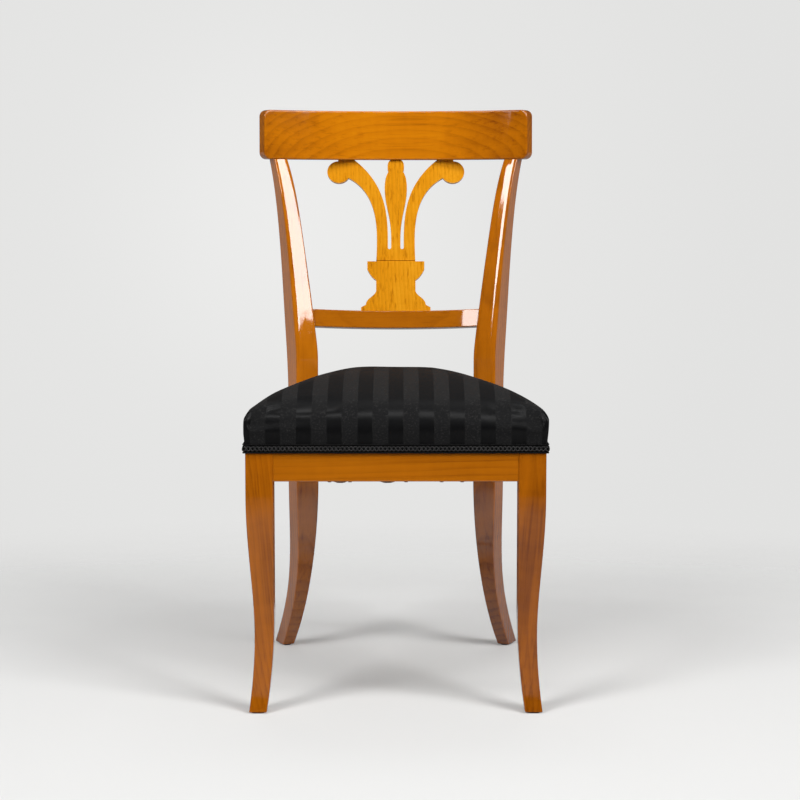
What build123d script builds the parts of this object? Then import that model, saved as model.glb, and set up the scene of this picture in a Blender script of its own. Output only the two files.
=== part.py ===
from build123d import *
from math import atan2, cos, degrees, pi, radians, sin, sqrt, tan
import os

os.makedirs("parts", exist_ok=True)

# A dining chair with sabre legs, a palmette back and a sprung seat upholstered over the rails.
# Millimetres. X runs to the right as seen from the front, Y to the back, Z up.
# The origin lies on the floor, in the middle of the chair's own box.

# Seat frame
seat_front_width = 438.0
seat_depth = 402.0
rail_bottom = 344.5
rail_height = 70.0
rail_thickness = 22.0
rail_setback = 2.0
rear_rail_set = 36.0
side_rail_land = 17.0
arris = 1.5
post_arris = 2.0
foot_chamfer = 0.9

# Front legs, one template sawn on the front face and again on the outer face
front_leg_block = 40.2
front_leg_straight = 22.0
front_leg_knee_height = 207.5
front_leg_knee_in = 6.3
front_leg_waist_height = 127.5
front_leg_waist_in = 11.2
front_leg_toe_in = 3.0
front_leg_inner_bend = 150.0
front_foot_size = 26.0
front_foot_flare = 0.14

# Rear legs with their back posts, measured across and along a plane turned outwards
post_spread = 290.8
post_turn = 25.0
post_width = 39.0
post_depth = 39.0
rear_bend_height = 300.0
rear_knee_height = 110.0
rear_knee_back = 19.2
rear_knee_out = 2.5
rear_knee_width = 24.5
rear_knee_depth = 37.0
rear_foot_back = 81.0
rear_foot_out = 3.3
rear_foot_width = 20.5
rear_foot_depth = 37.0
rear_foot_flare = 1.35
rake_height = 492.0
rake_back_drop = 47.0
rake_bend_height = 40.0
rake_bend_share = 0.12
post_mid_height = 702.5
post_mid_back = 30.5
post_mid_out = 9.9
post_mid_width = 29.5
post_mid_depth = 32.5
post_top_back = 57.0
post_top_out = 22.5
post_top_width = 24.0
post_top_depth = 22.0
post_top_run = 75.0

# Crest rail, bowed in plan, on top of the posts
crest_bottom = 822.5
crest_height = 81.0
crest_thickness = 23.0
crest_radius = 470.0
crest_lean = 3.5
crest_overhang = 26.0
crest_proud = 1.0
crest_corner = 11.0
crest_arris = 2.5

# Lower back rail, bowed alike and tipped back with the posts
back_rail_height = 29.0
back_rail_thickness = 18.0
back_rail_centre_height = 558.0
back_rail_radius = 470.0
back_rail_lean = 12.0
back_rail_set = 37.3

# Splat: a flat board, its pedestal standing proud in front
splat_thickness = 11.0
pedestal_proud = 2.5
plinth_half = 57.8
plinth_height = 6.5
plinth_step_half = 50.0
plinth_step_height = 10.5
waist_half = 32.8
waist_low_height = 33.5
waist_high_height = 52.0
cap_half = 47.5
cap_low_height = 70.0
cap_height = 83.5
plume_foot_half = 32.6
plume_waist_half = 31.6
plume_waist_height = 117.0
arm_low_bend_half = 42.5
arm_low_bend_drop = 71.0
arm_notch_half = 79.0
arm_notch_drop = 31.5
scroll_half = 96.5
scroll_drop = 21.5
scroll_radius = 18.3
arm_top_half = 70.5
arm_high_bend_half = 34.0
arm_high_bend_drop = 40.0
slit_bottom_drop = 151.5
slit_width = 5.4
bud_stem_half = 7.8
bud_stem_drop = 135.0
bud_swell_half = 18.6
bud_swell_drop = 47.0
bud_neck_half = 12.2
bud_neck_drop = 21.0
bud_knob_half = 13.8
bud_knob_drop = 12.5
bud_tip_half = 6.8

# Directions in which the curves of the splat leave and arrive
plume_foot_way = (-0.05, 1)
arm_notch_way = (1, 0.5)
arm_top_way = (-0.8, -0.6)
bud_neck_way = (-0.75, 1)
bud_knob_way = (0.5, 1)
bud_tip_way = (-1, 0.35)
flare_low_way = (-0.1, 1)
flare_high_way = (-0.35, 1)
cap_hollow_way = (0.9, 0.5)
cap_rise_way = (0.5, 1)

# Joints: tenons in mortises, dowels and screws
tenon_thickness = 9.0
tenon_height = 26.0
tenon_length = 20.0
tenon_shoulder = 6.0
post_tenon_width = 12.0
post_tenon_length = 22.0
back_tenon_height = 17.0
back_tenon_thickness = 8.0
back_tenon_length = 14.0
splat_tongue_width = 82.0
splat_tongue_thickness = 6.0
splat_tongue_depth = 9.0
glue_room = 0.15
dowel_diameter = 5.0
dowel_length = 26.0
block_reach = 46.0
block_height = 48.0
block_drop = 7.0
screw_diameter = 4.0
screw_length = 34.0
screw_head_diameter = 8.0
screw_head_height = 3.0
screw_spacing = 24.0
screw_sink = 2.0
screw_room = 0.1

# Glides under the feet
glide_thickness = 2.0
glide_inset = 3.0

# Webbing, springs and canvas
strap_width = 50.0
strap_thickness = 1.0
strap_spacing = 82.0
strap_end_inset = 9.0
strap_fold = 11.0
strap_slope = 9.0
strap_ease = 1.0
strap_count = 3
tack_diameter = 1.8
tack_length = 12.0
tack_head_diameter = 5.5
tack_head_height = 0.5
tack_spacing = 30.0
tack_room = 0.05
spring_radius = 36.0
spring_wire = 3.6
spring_turns = 4
spring_arcs = 4
spring_room = 0.2
front_spring_spread = 156.0
rear_spring_spread = 120.0
canvas_thickness = 1.0
canvas_edge_inset = 8.0
canvas_foot_inset = 26.0
canvas_top_inset = 66.0
canvas_rise = 27.0

# Upholstery
cover_thickness = 1.3
braid_thickness = 1.7
braid_height = 13.0
show_wood = 43.5
edge_bulge = 1.2
edge_bulge_height = 13.0
edge_turn_inset = 3.0
edge_turn_height = 23.5
edge_inset = 12.0
edge_height = 31.5
crown = 43.0
crown_power = 2.4
crown_inset = 190.0
crown_steps = 8
corner_round_turn = 6.0
corner_round_edge = 12.0
corner_round_top = 26.0
side_round = 60.0
post_room = 0.3

# Values worked out from the sizes above
seat_half = seat_front_width / 2
rail_top = rail_bottom + rail_height
turn_cos = cos(radians(post_turn))
turn_sin = sin(radians(post_turn))
crest_slope = tan(radians(crest_lean))

post_top_x = post_spread / 2 + post_top_out * turn_cos + post_top_back * turn_sin
post_top_set = post_top_back * turn_cos - post_top_out * turn_sin
crest_bow = crest_radius - sqrt(crest_radius**2 - post_top_x**2)
crest_centre_set = seat_depth + post_top_set - crest_proud + crest_bow
back_reach = crest_centre_set + crest_thickness + crest_height * crest_slope
front_reach = cover_thickness + braid_thickness

front_y = (front_reach - back_reach) / 2
post_x = post_spread / 2
post_y = front_y + seat_depth
rear_y = post_y + rear_rail_set
crest_y = front_y + crest_centre_set
back_rail_y = post_y + back_rail_set
leg_back_y = front_y + front_leg_block
leg_inner_x = seat_half - front_leg_block
braid_bottom = rail_bottom + show_wood
corner_round_low = arris
steep = 0.7


def post_point(across, along):
    """The plan place of a point on the right post: across outwards, along to the back."""
    x = post_x + across * turn_cos + along * turn_sin
    y = post_y - across * turn_sin + along * turn_cos
    return (x, y)


# The side rails run from the back corner of the front leg to a landing on the post's front face.
side_end_x, side_end_y = post_point(side_rail_land, 0)
side_taper = atan2(seat_half - side_end_x, side_end_y - leg_back_y)
side_dir = Vector(-sin(side_taper), cos(side_taper), 0)
side_inward = Vector(-cos(side_taper), -sin(side_taper), 0)
post_across = Vector(turn_cos, -turn_sin, 0)
post_along = Vector(turn_sin, turn_cos, 0)
rail_inner = rail_setback + rail_thickness


def side_x(y, inset):
    """Where the line of the right side, drawn in by inset, lies at a given y."""
    return seat_half - (y - leg_back_y) * tan(side_taper) - inset / cos(side_taper)


def seat_corners(inset):
    """The right-hand corners of the seat's plan, drawn in by inset, from front to back."""
    half = seat_half - inset
    bend_y = leg_back_y - inset * tan(side_taper / 2)
    back_y = rear_y - inset
    return [(half, front_y + inset), (half, bend_y), (side_x(back_y, inset), back_y)]


def seat_sketch(height, inset, shrink, turn, bend):
    """The seat's plan as a face at a height: drawn in by inset, then shrunk about its middle.

    shrink is how far the shrinking draws in the front corners, turn the rounding of the corners
    before it, and bend the rounding where the sides start to taper.
    """
    middle_y = (front_y + rear_y) / 2
    share = 1 - shrink / seat_half
    right = [(x * share, middle_y + (y - middle_y) * share) for x, y in seat_corners(inset)]
    left = [(-x, y) for x, y in reversed(right)]
    rounds = [turn * share, bend * share, turn * share]
    with BuildSketch(Plane.XY.offset(height)) as plan:
        with BuildLine():
            FilletPolyline(*right, *left, radius=rounds + rounds[::-1], close=True)
        make_face()
    return plan.sketch


def seat_block(low, high, inset, turn):
    """A block of the seat's plan between two heights."""
    with BuildPart() as block:
        extrude(seat_sketch(low, inset, 0.0, turn, arris), high - low)
    return block.part


def tongue(root, thickness, height, length, embed, room):
    """A tenon on a plane whose normal points into the mortise; room widens it for the mortise."""
    with BuildPart() as tenon:
        with BuildSketch(root.offset(-embed)):
            Rectangle(thickness + 2 * room, height + 2 * room)
        extrude(amount=embed + length + room)
    return tenon.part


def both_sides(piece):
    """A right-hand piece together with its mirror image."""
    return [piece, mirror(piece, about=Plane.YZ, mode=Mode.PRIVATE)]


def save(piece, name):
    """Label a finished piece and write it."""
    piece.label = name
    export_step(piece, f"parts/{name}.step")


# Front leg blank
def front_leg_face():
    """The leg's template: distance from the outer face along x, height along y."""
    top = rail_top
    bend_top = rail_bottom - front_leg_straight
    with BuildLine() as outline:
        Line((0, top), (0, bend_top))
        Spline(
            (0, bend_top),
            (front_leg_knee_in, front_leg_knee_height),
            (front_leg_waist_in, front_leg_waist_height),
            (front_leg_toe_in, glide_thickness),
            tangents=[(0, -1), (-front_foot_flare, -1)],
        )
        Line((front_leg_toe_in, glide_thickness), (front_leg_toe_in + front_foot_size, glide_thickness))
        RadiusArc(
            (front_leg_toe_in + front_foot_size, glide_thickness),
            (front_leg_block, front_leg_inner_bend),
            -tangent_radius(
                front_leg_block - front_leg_toe_in - front_foot_size,
                front_leg_inner_bend - glide_thickness,
            ),
        )
        Line((front_leg_block, front_leg_inner_bend), (front_leg_block, top))
        Line((front_leg_block, top), (0, top))
    return outline.line


def tangent_radius(offset_by, run):
    """Radius of an arc that leaves a line tangentially and reaches offset_by after run."""
    return (run**2 + offset_by**2) / (2 * offset_by)


def long_edges(piece):
    """The edges that run up a leg."""
    return piece.edges().filter_by(lambda edge: abs(edge.tangent_at(0.5).Z) > steep)


def floor_edges(piece):
    """The edges round a foot's sole."""
    return piece.faces().sort_by(Axis.Z)[0].edges()


leg_corner = (seat_half, front_y, 0)
with BuildPart() as front_leg_blank:
    with BuildSketch(Plane(leg_corner, x_dir=(-1, 0, 0), z_dir=(0, 1, 0))):
        add(front_leg_face())
        make_face()
    extrude(amount=front_leg_block)
    with BuildSketch(Plane(leg_corner, x_dir=(0, 1, 0), z_dir=(1, 0, 0))):
        add(front_leg_face())
        make_face()
    extrude(amount=-front_leg_block, mode=Mode.INTERSECT)
    fillet(long_edges(front_leg_blank.part), arris)
    chamfer(floor_edges(front_leg_blank.part), foot_chamfer)

# Rear leg blank, a side outline and a front outline sawn through each other
post_foot = (*post_point(0, 0), 0)
post_side_plane = Plane(post_foot, x_dir=tuple(post_along), z_dir=tuple(post_across))
post_front_plane = Plane(post_foot, x_dir=tuple(post_across), z_dir=tuple(-post_along))


def leg_edge(foot, knee, bend, rake, mid, top):
    """One sawn edge of a rear leg, as offsets from floor to crest and the height where its rake starts."""
    Spline(
        (foot, glide_thickness),
        (knee, rear_knee_height),
        (bend, rear_bend_height),
        tangents=[(rear_foot_flare * (knee - foot), rear_knee_height - glide_thickness), (0, 1)],
    )
    Line((bend, rear_bend_height), (bend, rake))
    Spline(
        (bend, rake),
        (bend + rake_bend_share * (mid - bend), rake + rake_bend_height),
        (mid, post_mid_height),
        (top, crest_bottom),
        tangents=[(0, 1), (top - mid, post_top_run)],
    )


def leg_outline(low, high):
    """A closed outline between two sawn edges, each given as foot, knee, bend, rake, mid and top."""
    with BuildLine() as outline:
        leg_edge(*low)
        leg_edge(*high)
        Line((low[0], glide_thickness), (high[0], glide_thickness))
        Line((low[-1], crest_bottom), (high[-1], crest_bottom))
    return outline.line


front_edge = (rear_foot_back, rear_knee_back, 0.0, rake_height, post_mid_back, post_top_back)
back_edge = (
    rear_foot_back + rear_foot_depth,
    rear_knee_back + rear_knee_depth,
    post_depth,
    rake_height - rake_back_drop,
    post_mid_back + post_mid_depth,
    post_top_back + post_top_depth,
)
inner_edge = (
    rear_foot_out - rear_foot_width / 2,
    rear_knee_out - rear_knee_width / 2,
    -post_width / 2,
    rake_height,
    post_mid_out - post_mid_width / 2,
    post_top_out - post_top_width / 2,
)
outer_edge = (
    rear_foot_out + rear_foot_width / 2,
    rear_knee_out + rear_knee_width / 2,
    post_width / 2,
    rake_height,
    post_mid_out + post_mid_width / 2,
    post_top_out + post_top_width / 2,
)
post_reach = rear_foot_back + rear_foot_depth + post_depth + post_width

with BuildPart() as rear_leg_blank:
    with BuildSketch(post_side_plane):
        add(leg_outline(front_edge, back_edge))
        make_face()
    extrude(amount=post_reach, both=True)
    with BuildSketch(post_front_plane):
        add(leg_outline(inner_edge, outer_edge))
        make_face()
    extrude(amount=post_reach, both=True, mode=Mode.INTERSECT)
    fillet(long_edges(rear_leg_blank.part), post_arris)
    chamfer(floor_edges(rear_leg_blank.part), foot_chamfer)

# The space that the upholstery leaves for the right post
with BuildPart() as post_space:
    with BuildSketch(Plane(post_foot, x_dir=tuple(post_across)).offset(rear_bend_height)):
        with Locations((post_width / 2, post_depth)):
            Rectangle(2 * (post_width + post_room), 2 * (post_depth + post_room))
    extrude(amount=rake_height - rear_bend_height)
post_spaces = both_sides(post_space.part)

# Where the rails' tenons stand: high on the front and rear rails, low on the side rails
high_tenon = rail_top - tenon_shoulder - tenon_height / 2
low_tenon = rail_bottom + tenon_shoulder + tenon_height / 2

front_rail_mid_y = front_y + rail_setback + rail_thickness / 2
front_rail_root = Plane((leg_inner_x, front_rail_mid_y, high_tenon), x_dir=(0, 1, 0), z_dir=(1, 0, 0))

rear_rail_mid_y = rear_y - rail_thickness / 2
rear_rail_across = -post_width / 2
rear_rail_along = (rear_rail_mid_y - post_point(rear_rail_across, 0)[1]) / turn_cos
rear_root_x = post_point(rear_rail_across, rear_rail_along)[0]
rear_rail_root = Plane((rear_root_x, rear_rail_mid_y, high_tenon), x_dir=(0, 1, 0), z_dir=(1, 0, 0))

side_rail_mid = rail_setback + rail_thickness / 2
side_front = Vector(side_x(leg_back_y, side_rail_mid), leg_back_y, 0)
post_face_gap = (Vector(post_x, post_y, 0) - side_front).dot(post_along) / side_dir.dot(post_along)
side_rear = side_front + side_dir * post_face_gap
side_skew = Vector(side_dir).get_angle(post_along)
side_front_root = Plane(
    (side_front.X, side_front.Y, low_tenon), x_dir=tuple(side_inward), z_dir=tuple(-side_dir)
)
side_rear_root = Plane(
    (side_rear.X, side_rear.Y, low_tenon), x_dir=tuple(side_inward), z_dir=tuple(side_dir)
)


def rail_tenon(root, room=0.0):
    """A seat rail's tenon on its root plane, or with room the mortise for it."""
    return tongue(root, tenon_thickness, tenon_height, tenon_length, tenon_length, room)


# Webbing straps on the underside of the rails, three each way, woven
strap_low = rail_bottom - strap_thickness
strap_step = (rear_y - rail_thickness - front_y - rail_inner) / (strap_count + 1)
cross_strap_places = [front_y + rail_inner + strap_step * (i + 1) for i in range(strap_count)]
long_strap_places = [strap_spacing * (i - (strap_count - 1) / 2) for i in range(strap_count)]
long_strap_ends = (front_y + rail_setback + strap_end_inset, rear_y - strap_end_inset)
strap_side_inset = rail_setback + strap_end_inset
cross_strap_half = [side_x(y + strap_width / 2, strap_side_inset) for y in cross_strap_places]


def strap_tacks():
    """Where the tacks of the straps stand, in plan: two through each folded end."""
    places = []
    for x in long_strap_places:
        for y in (long_strap_ends[0] + strap_fold / 2, long_strap_ends[1] - strap_fold / 2):
            places += [(x - tack_spacing / 2, y), (x + tack_spacing / 2, y)]
    for y, half in zip(cross_strap_places, cross_strap_half):
        for x in (half - strap_fold / 2, strap_fold / 2 - half):
            places += [(x, y - tack_spacing / 2), (x, y + tack_spacing / 2)]
    return places


def tack_holes():
    """Holes for all the tacks, through the straps into the rails."""
    hole = tack_diameter / 2 + tack_room
    depth = tack_length + tack_room
    with BuildPart() as holes:
        with BuildSketch(Plane.XY.offset(strap_low - strap_thickness)):
            with Locations(*strap_tacks()):
                Circle(hole)
        extrude(amount=depth)
    return holes.part


tack_spaces = tack_holes()

# Seat rails
with BuildPart() as front_rail:
    with BuildSketch(Plane.XY.offset(rail_bottom)):
        with Locations((0, front_rail_mid_y)):
            Rectangle(2 * leg_inner_x, rail_thickness)
    extrude(amount=rail_height)
    front_lower = front_rail.part.faces().sort_by(Axis.Z)[0].edges().sort_by(Axis.Y)[0]
    fillet(front_lower, arris)
    add(both_sides(rail_tenon(front_rail_root)))
    add(tack_spaces, mode=Mode.SUBTRACT)
save(front_rail.part, "front_seat_rail")

rear_rail_over = rail_thickness * tan(radians(post_turn))
with BuildPart() as rear_rail:
    with BuildSketch(Plane.XY.offset(rail_bottom)):
        with Locations((0, rear_rail_mid_y)):
            Rectangle(2 * (rear_root_x + rear_rail_over), rail_thickness)
    extrude(amount=rail_height)
    add(both_sides(rear_leg_blank.part), mode=Mode.SUBTRACT)
    add(both_sides(rail_tenon(rear_rail_root)))
    add(tack_spaces, mode=Mode.SUBTRACT)
save(rear_rail.part, "rear_seat_rail")

side_over = rail_thickness / 2 * tan(radians(side_skew)) + tenon_shoulder
side_length = post_face_gap + 2 * side_over
side_mid = (side_front + side_rear) * 0.5
side_plane = Plane((side_mid.X, side_mid.Y, rail_bottom), x_dir=tuple(side_dir))
with BuildPart() as side_rail_right:
    with BuildSketch(side_plane):
        Rectangle(side_length, rail_thickness)
    extrude(amount=rail_height)
    outer_low = side_rail_right.part.faces().sort_by(Axis.Z)[0].edges().sort_by(SortBy.LENGTH)[-2:]
    fillet(outer_low.sort_by(Axis.X)[-1], arris)
    split(bisect_by=Plane((0, leg_back_y, 0), x_dir=(1, 0, 0), z_dir=(0, -1, 0)), keep=Keep.BOTTOM)
    split(bisect_by=Plane(post_foot, x_dir=tuple(post_across), z_dir=tuple(post_along)), keep=Keep.BOTTOM)
    add([rail_tenon(side_front_root), rail_tenon(side_rear_root)])
    add(tack_spaces, mode=Mode.SUBTRACT)
save(side_rail_right.part, "side_seat_rail_right")

with BuildPart() as side_rail_left:
    mirror(side_rail_right.part, about=Plane.YZ)
save(side_rail_left.part, "side_seat_rail_left")

# Corner blocks, notched round the legs, and their screws
front_block_plan = [
    (leg_inner_x - block_reach, front_y + rail_inner),
    (leg_inner_x, front_y + rail_inner),
    (leg_inner_x, leg_back_y),
    (side_x(leg_back_y, rail_inner), leg_back_y),
    (side_x(leg_back_y + block_reach, rail_inner), leg_back_y + block_reach),
]
rear_front_y = rear_y - rail_thickness
rear_touch_along = (rear_front_y - post_point(rear_rail_across, 0)[1]) / turn_cos
rear_touch = post_point(rear_rail_across, rear_touch_along)
side_touch_gap = (Vector(post_x, post_y, 0) - Vector(side_x(leg_back_y, rail_inner), leg_back_y, 0)).dot(
    post_along
) / side_dir.dot(post_along)
side_touch = Vector(side_x(leg_back_y, rail_inner), leg_back_y, 0) + side_dir * side_touch_gap
side_touch_low = side_touch - side_dir * block_reach
rear_block_plan = [
    (side_touch_low.X, side_touch_low.Y),
    (side_touch.X, side_touch.Y),
    post_point(rear_rail_across, 0),
    rear_touch,
    (rear_touch[0] - block_reach, rear_front_y),
]
block_low = rail_top - block_drop - block_height


def block_screw_planes(plan, target, into):
    """Planes of a block's two screws: on its long free face, through a target point into the leg."""
    start, end = Vector(*plan[0], 0), Vector(*plan[-1], 0)
    face_normal = (end - start).cross(Vector(0, 0, 1))
    head = target - into * ((target - start).dot(face_normal) / into.dot(face_normal))
    heights = [block_low + block_height / 2 + side * screw_spacing / 2 for side in (-1, 1)]
    return [Plane((head.X, head.Y, z), z_dir=tuple(into)) for z in heights]


front_screw_planes = block_screw_planes(
    front_block_plan, Vector(leg_inner_x, leg_back_y, 0), Vector(1, -1, 0).normalized()
)
rear_screw_planes = block_screw_planes(
    rear_block_plan, (side_touch + Vector(*post_point(rear_rail_across, 0), 0)) * 0.5, post_along
)


def screw_body(planes, room):
    """Countersunk screws on their planes, or with room the holes for them."""
    with BuildPart() as screws:
        for plane in planes:
            with BuildSketch(plane.offset(screw_sink)):
                Circle(screw_head_diameter / 2 + room)
            with BuildSketch(plane.offset(screw_sink + screw_head_height)):
                Circle(screw_diameter / 2 + room)
            loft()
            with BuildSketch(plane.offset(screw_sink + screw_head_height)):
                Circle(screw_diameter / 2 + room)
            extrude(amount=screw_length - screw_head_height + room)
    return screws.part


def screw_wells(planes):
    """The wells above the sunk screw heads."""
    with BuildPart() as wells:
        for plane in planes:
            with BuildSketch(plane.offset(screw_sink)):
                Circle(screw_head_diameter / 2 + screw_room)
            extrude(amount=-screw_head_diameter)
    return wells.part


def corner_block(plan, planes):
    """The right-hand corner block of a plan, bored for its screws."""
    with BuildPart() as block:
        with BuildSketch(Plane.XY.offset(block_low)):
            with BuildLine():
                Polyline(*plan, close=True)
            make_face()
        extrude(amount=block_height)
        add([screw_body(planes, screw_room), screw_wells(planes)], mode=Mode.SUBTRACT)
    return block.part


corner_blocks = {
    "front": corner_block(front_block_plan, front_screw_planes),
    "rear": corner_block(rear_block_plan, rear_screw_planes),
}
for place, right_block in corner_blocks.items():
    for side, block in zip(("right", "left"), both_sides(right_block)):
        save(block, f"corner_block_{place}_{side}")

screw_planes = front_screw_planes + rear_screw_planes
with BuildPart() as block_screws:
    add(both_sides(screw_body(screw_planes, 0.0)))
save(block_screws.part, "corner_block_screws")
screw_spaces = screw_body(screw_planes, screw_room)

# Crest rail
crest_half = post_top_x + crest_overhang
crest_half_angle = atan2(crest_half, sqrt(crest_radius**2 - crest_half**2))


def bowed_plan(radius, thickness, half_angle):
    """A band bowed in plan: its front face at the sketch origin, hollow to the front."""
    start = 90 - degrees(half_angle)
    span = 2 * degrees(half_angle)
    with BuildLine() as band:
        front_arc = CenterArc((0, -radius), radius, start, span)
        back_arc = CenterArc((0, -radius), radius + thickness, start, span)
        Line(front_arc @ 0, back_arc @ 0)
        Line(front_arc @ 1, back_arc @ 1)
    return band.line


post_top_mid = post_point(post_top_out, post_top_back + post_top_depth / 2)
post_tenon_plane = Plane((*post_top_mid, crest_bottom), x_dir=tuple(post_across))


def post_tenon(room):
    """The tenon on top of the right post, or with room its mortise."""
    return tongue(
        post_tenon_plane, post_tenon_width, tenon_thickness, post_tenon_length, post_tenon_length, room
    )


with BuildPart() as crest_rail:
    with BuildSketch(Plane.XY.move(Location((0, crest_y, crest_bottom)))):
        add(bowed_plan(crest_radius, crest_thickness, crest_half_angle))
        make_face()
    extrude(amount=crest_height / cos(radians(crest_lean)), dir=(0, crest_slope, 1))
    end_faces = crest_rail.faces().sort_by(Axis.X)
    end_edges = [end_faces[0].edges(), end_faces[-1].edges()]
    corners = [edges.filter_by(lambda e: abs(e.tangent_at(0.5).Z) < steep) for edges in end_edges]
    fillet(corners[0] + corners[1], crest_corner)
    bow_faces = crest_rail.faces().sort_by(SortBy.AREA)[-2:]
    fillet(bow_faces.edges(), crest_arris)
    add(both_sides(post_tenon(glue_room)), mode=Mode.SUBTRACT)

# Lower back rail
back_rail_plane = Plane(
    (0, back_rail_y, back_rail_centre_height),
    x_dir=(1, 0, 0),
    z_dir=(0, sin(radians(back_rail_lean)), cos(radians(back_rail_lean))),
)
back_rail_half = post_x + post_top_out
back_rail_angle = atan2(back_rail_half, sqrt(back_rail_radius**2 - back_rail_half**2))
back_end_x = post_point(-post_width / 2, back_rail_set)[0]


def back_band(height, thickness, half):
    """A bowed band round the lower back rail's middle line, its ends cut upright at half."""
    inset = (back_rail_thickness - thickness) / 2
    with BuildPart() as band:
        with BuildSketch(back_rail_plane.offset(-height / 2)):
            with Locations((0, inset)):
                add(bowed_plan(back_rail_radius + inset, thickness, back_rail_angle))
            make_face()
            with Locations((0, -back_rail_radius / 2)):
                Rectangle(2 * half, 2 * back_rail_radius, mode=Mode.INTERSECT)
        extrude(amount=height)
    return band.part


def back_tenons(room):
    """The tenons at both ends of the lower back rail in one band, or with room their mortises."""
    return back_band(
        back_tenon_height + 2 * room,
        back_tenon_thickness + 2 * room,
        back_end_x + back_tenon_length + room,
    )


back_rail_top_mid = back_rail_plane.from_local_coords((0, back_rail_thickness / 2, back_rail_height / 2))
crest_mid = Vector(0, crest_y + crest_thickness / 2, crest_bottom)
splat_run = crest_mid - back_rail_top_mid
splat_length = splat_run.length
splat_plane = Plane(
    tuple(back_rail_top_mid), x_dir=(1, 0, 0), z_dir=tuple(Vector(1, 0, 0).cross(splat_run).normalized())
)
splat_root = Plane(
    tuple(back_rail_top_mid), x_dir=(1, 0, 0), z_dir=tuple(-splat_run.normalized())
)


def splat_tongue(room):
    """The splat's tongue in the lower back rail, or with room its groove."""
    return tongue(
        splat_root, splat_tongue_width, splat_tongue_thickness, splat_tongue_depth, splat_tongue_depth, room
    )


with BuildPart() as lower_back_rail:
    add(back_band(back_rail_height, back_rail_thickness, back_end_x + back_tenon_length))
    long_arcs = lower_back_rail.edges().filter_by(GeomType.CIRCLE)
    fillet(long_arcs, arris)
    add(both_sides(rear_leg_blank.part), mode=Mode.SUBTRACT)
    add(back_tenons(0.0))
    add(splat_tongue(glue_room), mode=Mode.SUBTRACT)
save(lower_back_rail.part, "lower_back_rail")

# Splat: half an outline from its foot to its top, mirrored
splat_over = splat_thickness


def from_top(half, drop):
    """A point of the plume, measured down from the crest rail."""
    return (half, splat_length - drop)


def plume_outline():
    """The plume's closed right half: arm, scroll, slit and bud, with its foot on the pedestal."""
    foot = (plume_foot_half, cap_height)
    waist = (plume_waist_half, plume_waist_height)
    low_bend = from_top(arm_low_bend_half, arm_low_bend_drop)
    notch = from_top(arm_notch_half, arm_notch_drop)
    scroll_low = from_top(scroll_half, scroll_drop + scroll_radius)
    scroll_out = from_top(scroll_half + scroll_radius, scroll_drop)
    scroll_slant = scroll_radius * sqrt(0.5)
    scroll_side = from_top(scroll_half + scroll_slant, scroll_drop - scroll_slant)
    scroll_high = from_top(scroll_half, scroll_drop - scroll_radius)
    scroll_end = from_top(scroll_half, -splat_over)
    arm_end = from_top(arm_top_half, -splat_over)
    arm_top = from_top(arm_top_half, 0)
    high_bend = from_top(arm_high_bend_half, arm_high_bend_drop)
    slit_half = bud_stem_half + slit_width / 2
    slit_top = from_top(slit_half + slit_width / 2, bud_stem_drop)
    slit_side = from_top(slit_half + slit_width / 2, slit_bottom_drop - slit_width / 2)
    slit_low = from_top(slit_half, slit_bottom_drop)
    slit_in = from_top(bud_stem_half, slit_bottom_drop - slit_width / 2)
    stem = from_top(bud_stem_half, bud_stem_drop)
    swell = from_top(bud_swell_half, bud_swell_drop)
    neck = from_top(bud_neck_half, bud_neck_drop)
    knob = from_top(bud_knob_half, bud_knob_drop)
    tip = from_top(bud_tip_half, 0)
    tip_end = from_top(bud_tip_half, -splat_over)
    with BuildLine() as outline:
        Line((0, cap_height), foot)
        Spline(foot, waist, low_bend, notch, tangents=[plume_foot_way, arm_notch_way])
        ThreePointArc(notch, scroll_low, scroll_out)
        ThreePointArc(scroll_out, scroll_side, scroll_high)
        Line(scroll_high, scroll_end)
        Line(scroll_end, arm_end)
        Line(arm_end, arm_top)
        Spline(arm_top, high_bend, slit_top, tangents=[arm_top_way, (0, -1)])
        Line(slit_top, slit_side)
        ThreePointArc(slit_side, slit_low, slit_in)
        Line(slit_in, stem)
        Spline(stem, swell, neck, tangents=[(0, 1), bud_neck_way])
        Spline(neck, knob, tip, tangents=[bud_knob_way, bud_tip_way])
        Line(tip, tip_end)
        Line(tip_end, (0, tip_end[1]))
        Line((0, tip_end[1]), (0, cap_height))
    return outline.line


def pedestal_outline():
    """The pedestal's closed right half: plinth, hollow flare, waist and cap."""
    low = -splat_over
    with BuildLine() as outline:
        Line((0, low), (plinth_half, low))
        Line((plinth_half, low), (plinth_half, plinth_height))
        Line((plinth_half, plinth_height), (plinth_step_half, plinth_step_height))
        Spline(
            (plinth_step_half, plinth_step_height),
            (waist_half, waist_low_height),
            tangents=[flare_low_way, flare_high_way],
        )
        Line((waist_half, waist_low_height), (waist_half, waist_high_height))
        Spline(
            (waist_half, waist_high_height),
            (cap_half, cap_low_height),
            tangents=[cap_hollow_way, cap_rise_way],
        )
        Line((cap_half, cap_low_height), (cap_half, cap_height))
        Line((cap_half, cap_height), (0, cap_height))
        Line((0, cap_height), (0, low))
    return outline.line


dowel_across = [-(scroll_half + arm_top_half) / 2, 0.0, (scroll_half + arm_top_half) / 2]


def splat_dowels(room):
    """The three dowels between the splat's top and the crest rail, or with room their holes."""
    top = splat_root.offset(-splat_length - dowel_length / 2 - room)
    with BuildPart() as dowels:
        with BuildSketch(top):
            with Locations(*[(x, 0) for x in dowel_across]):
                Circle(dowel_diameter / 2 + room)
        extrude(amount=dowel_length + 2 * room)
    return dowels.part


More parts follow.
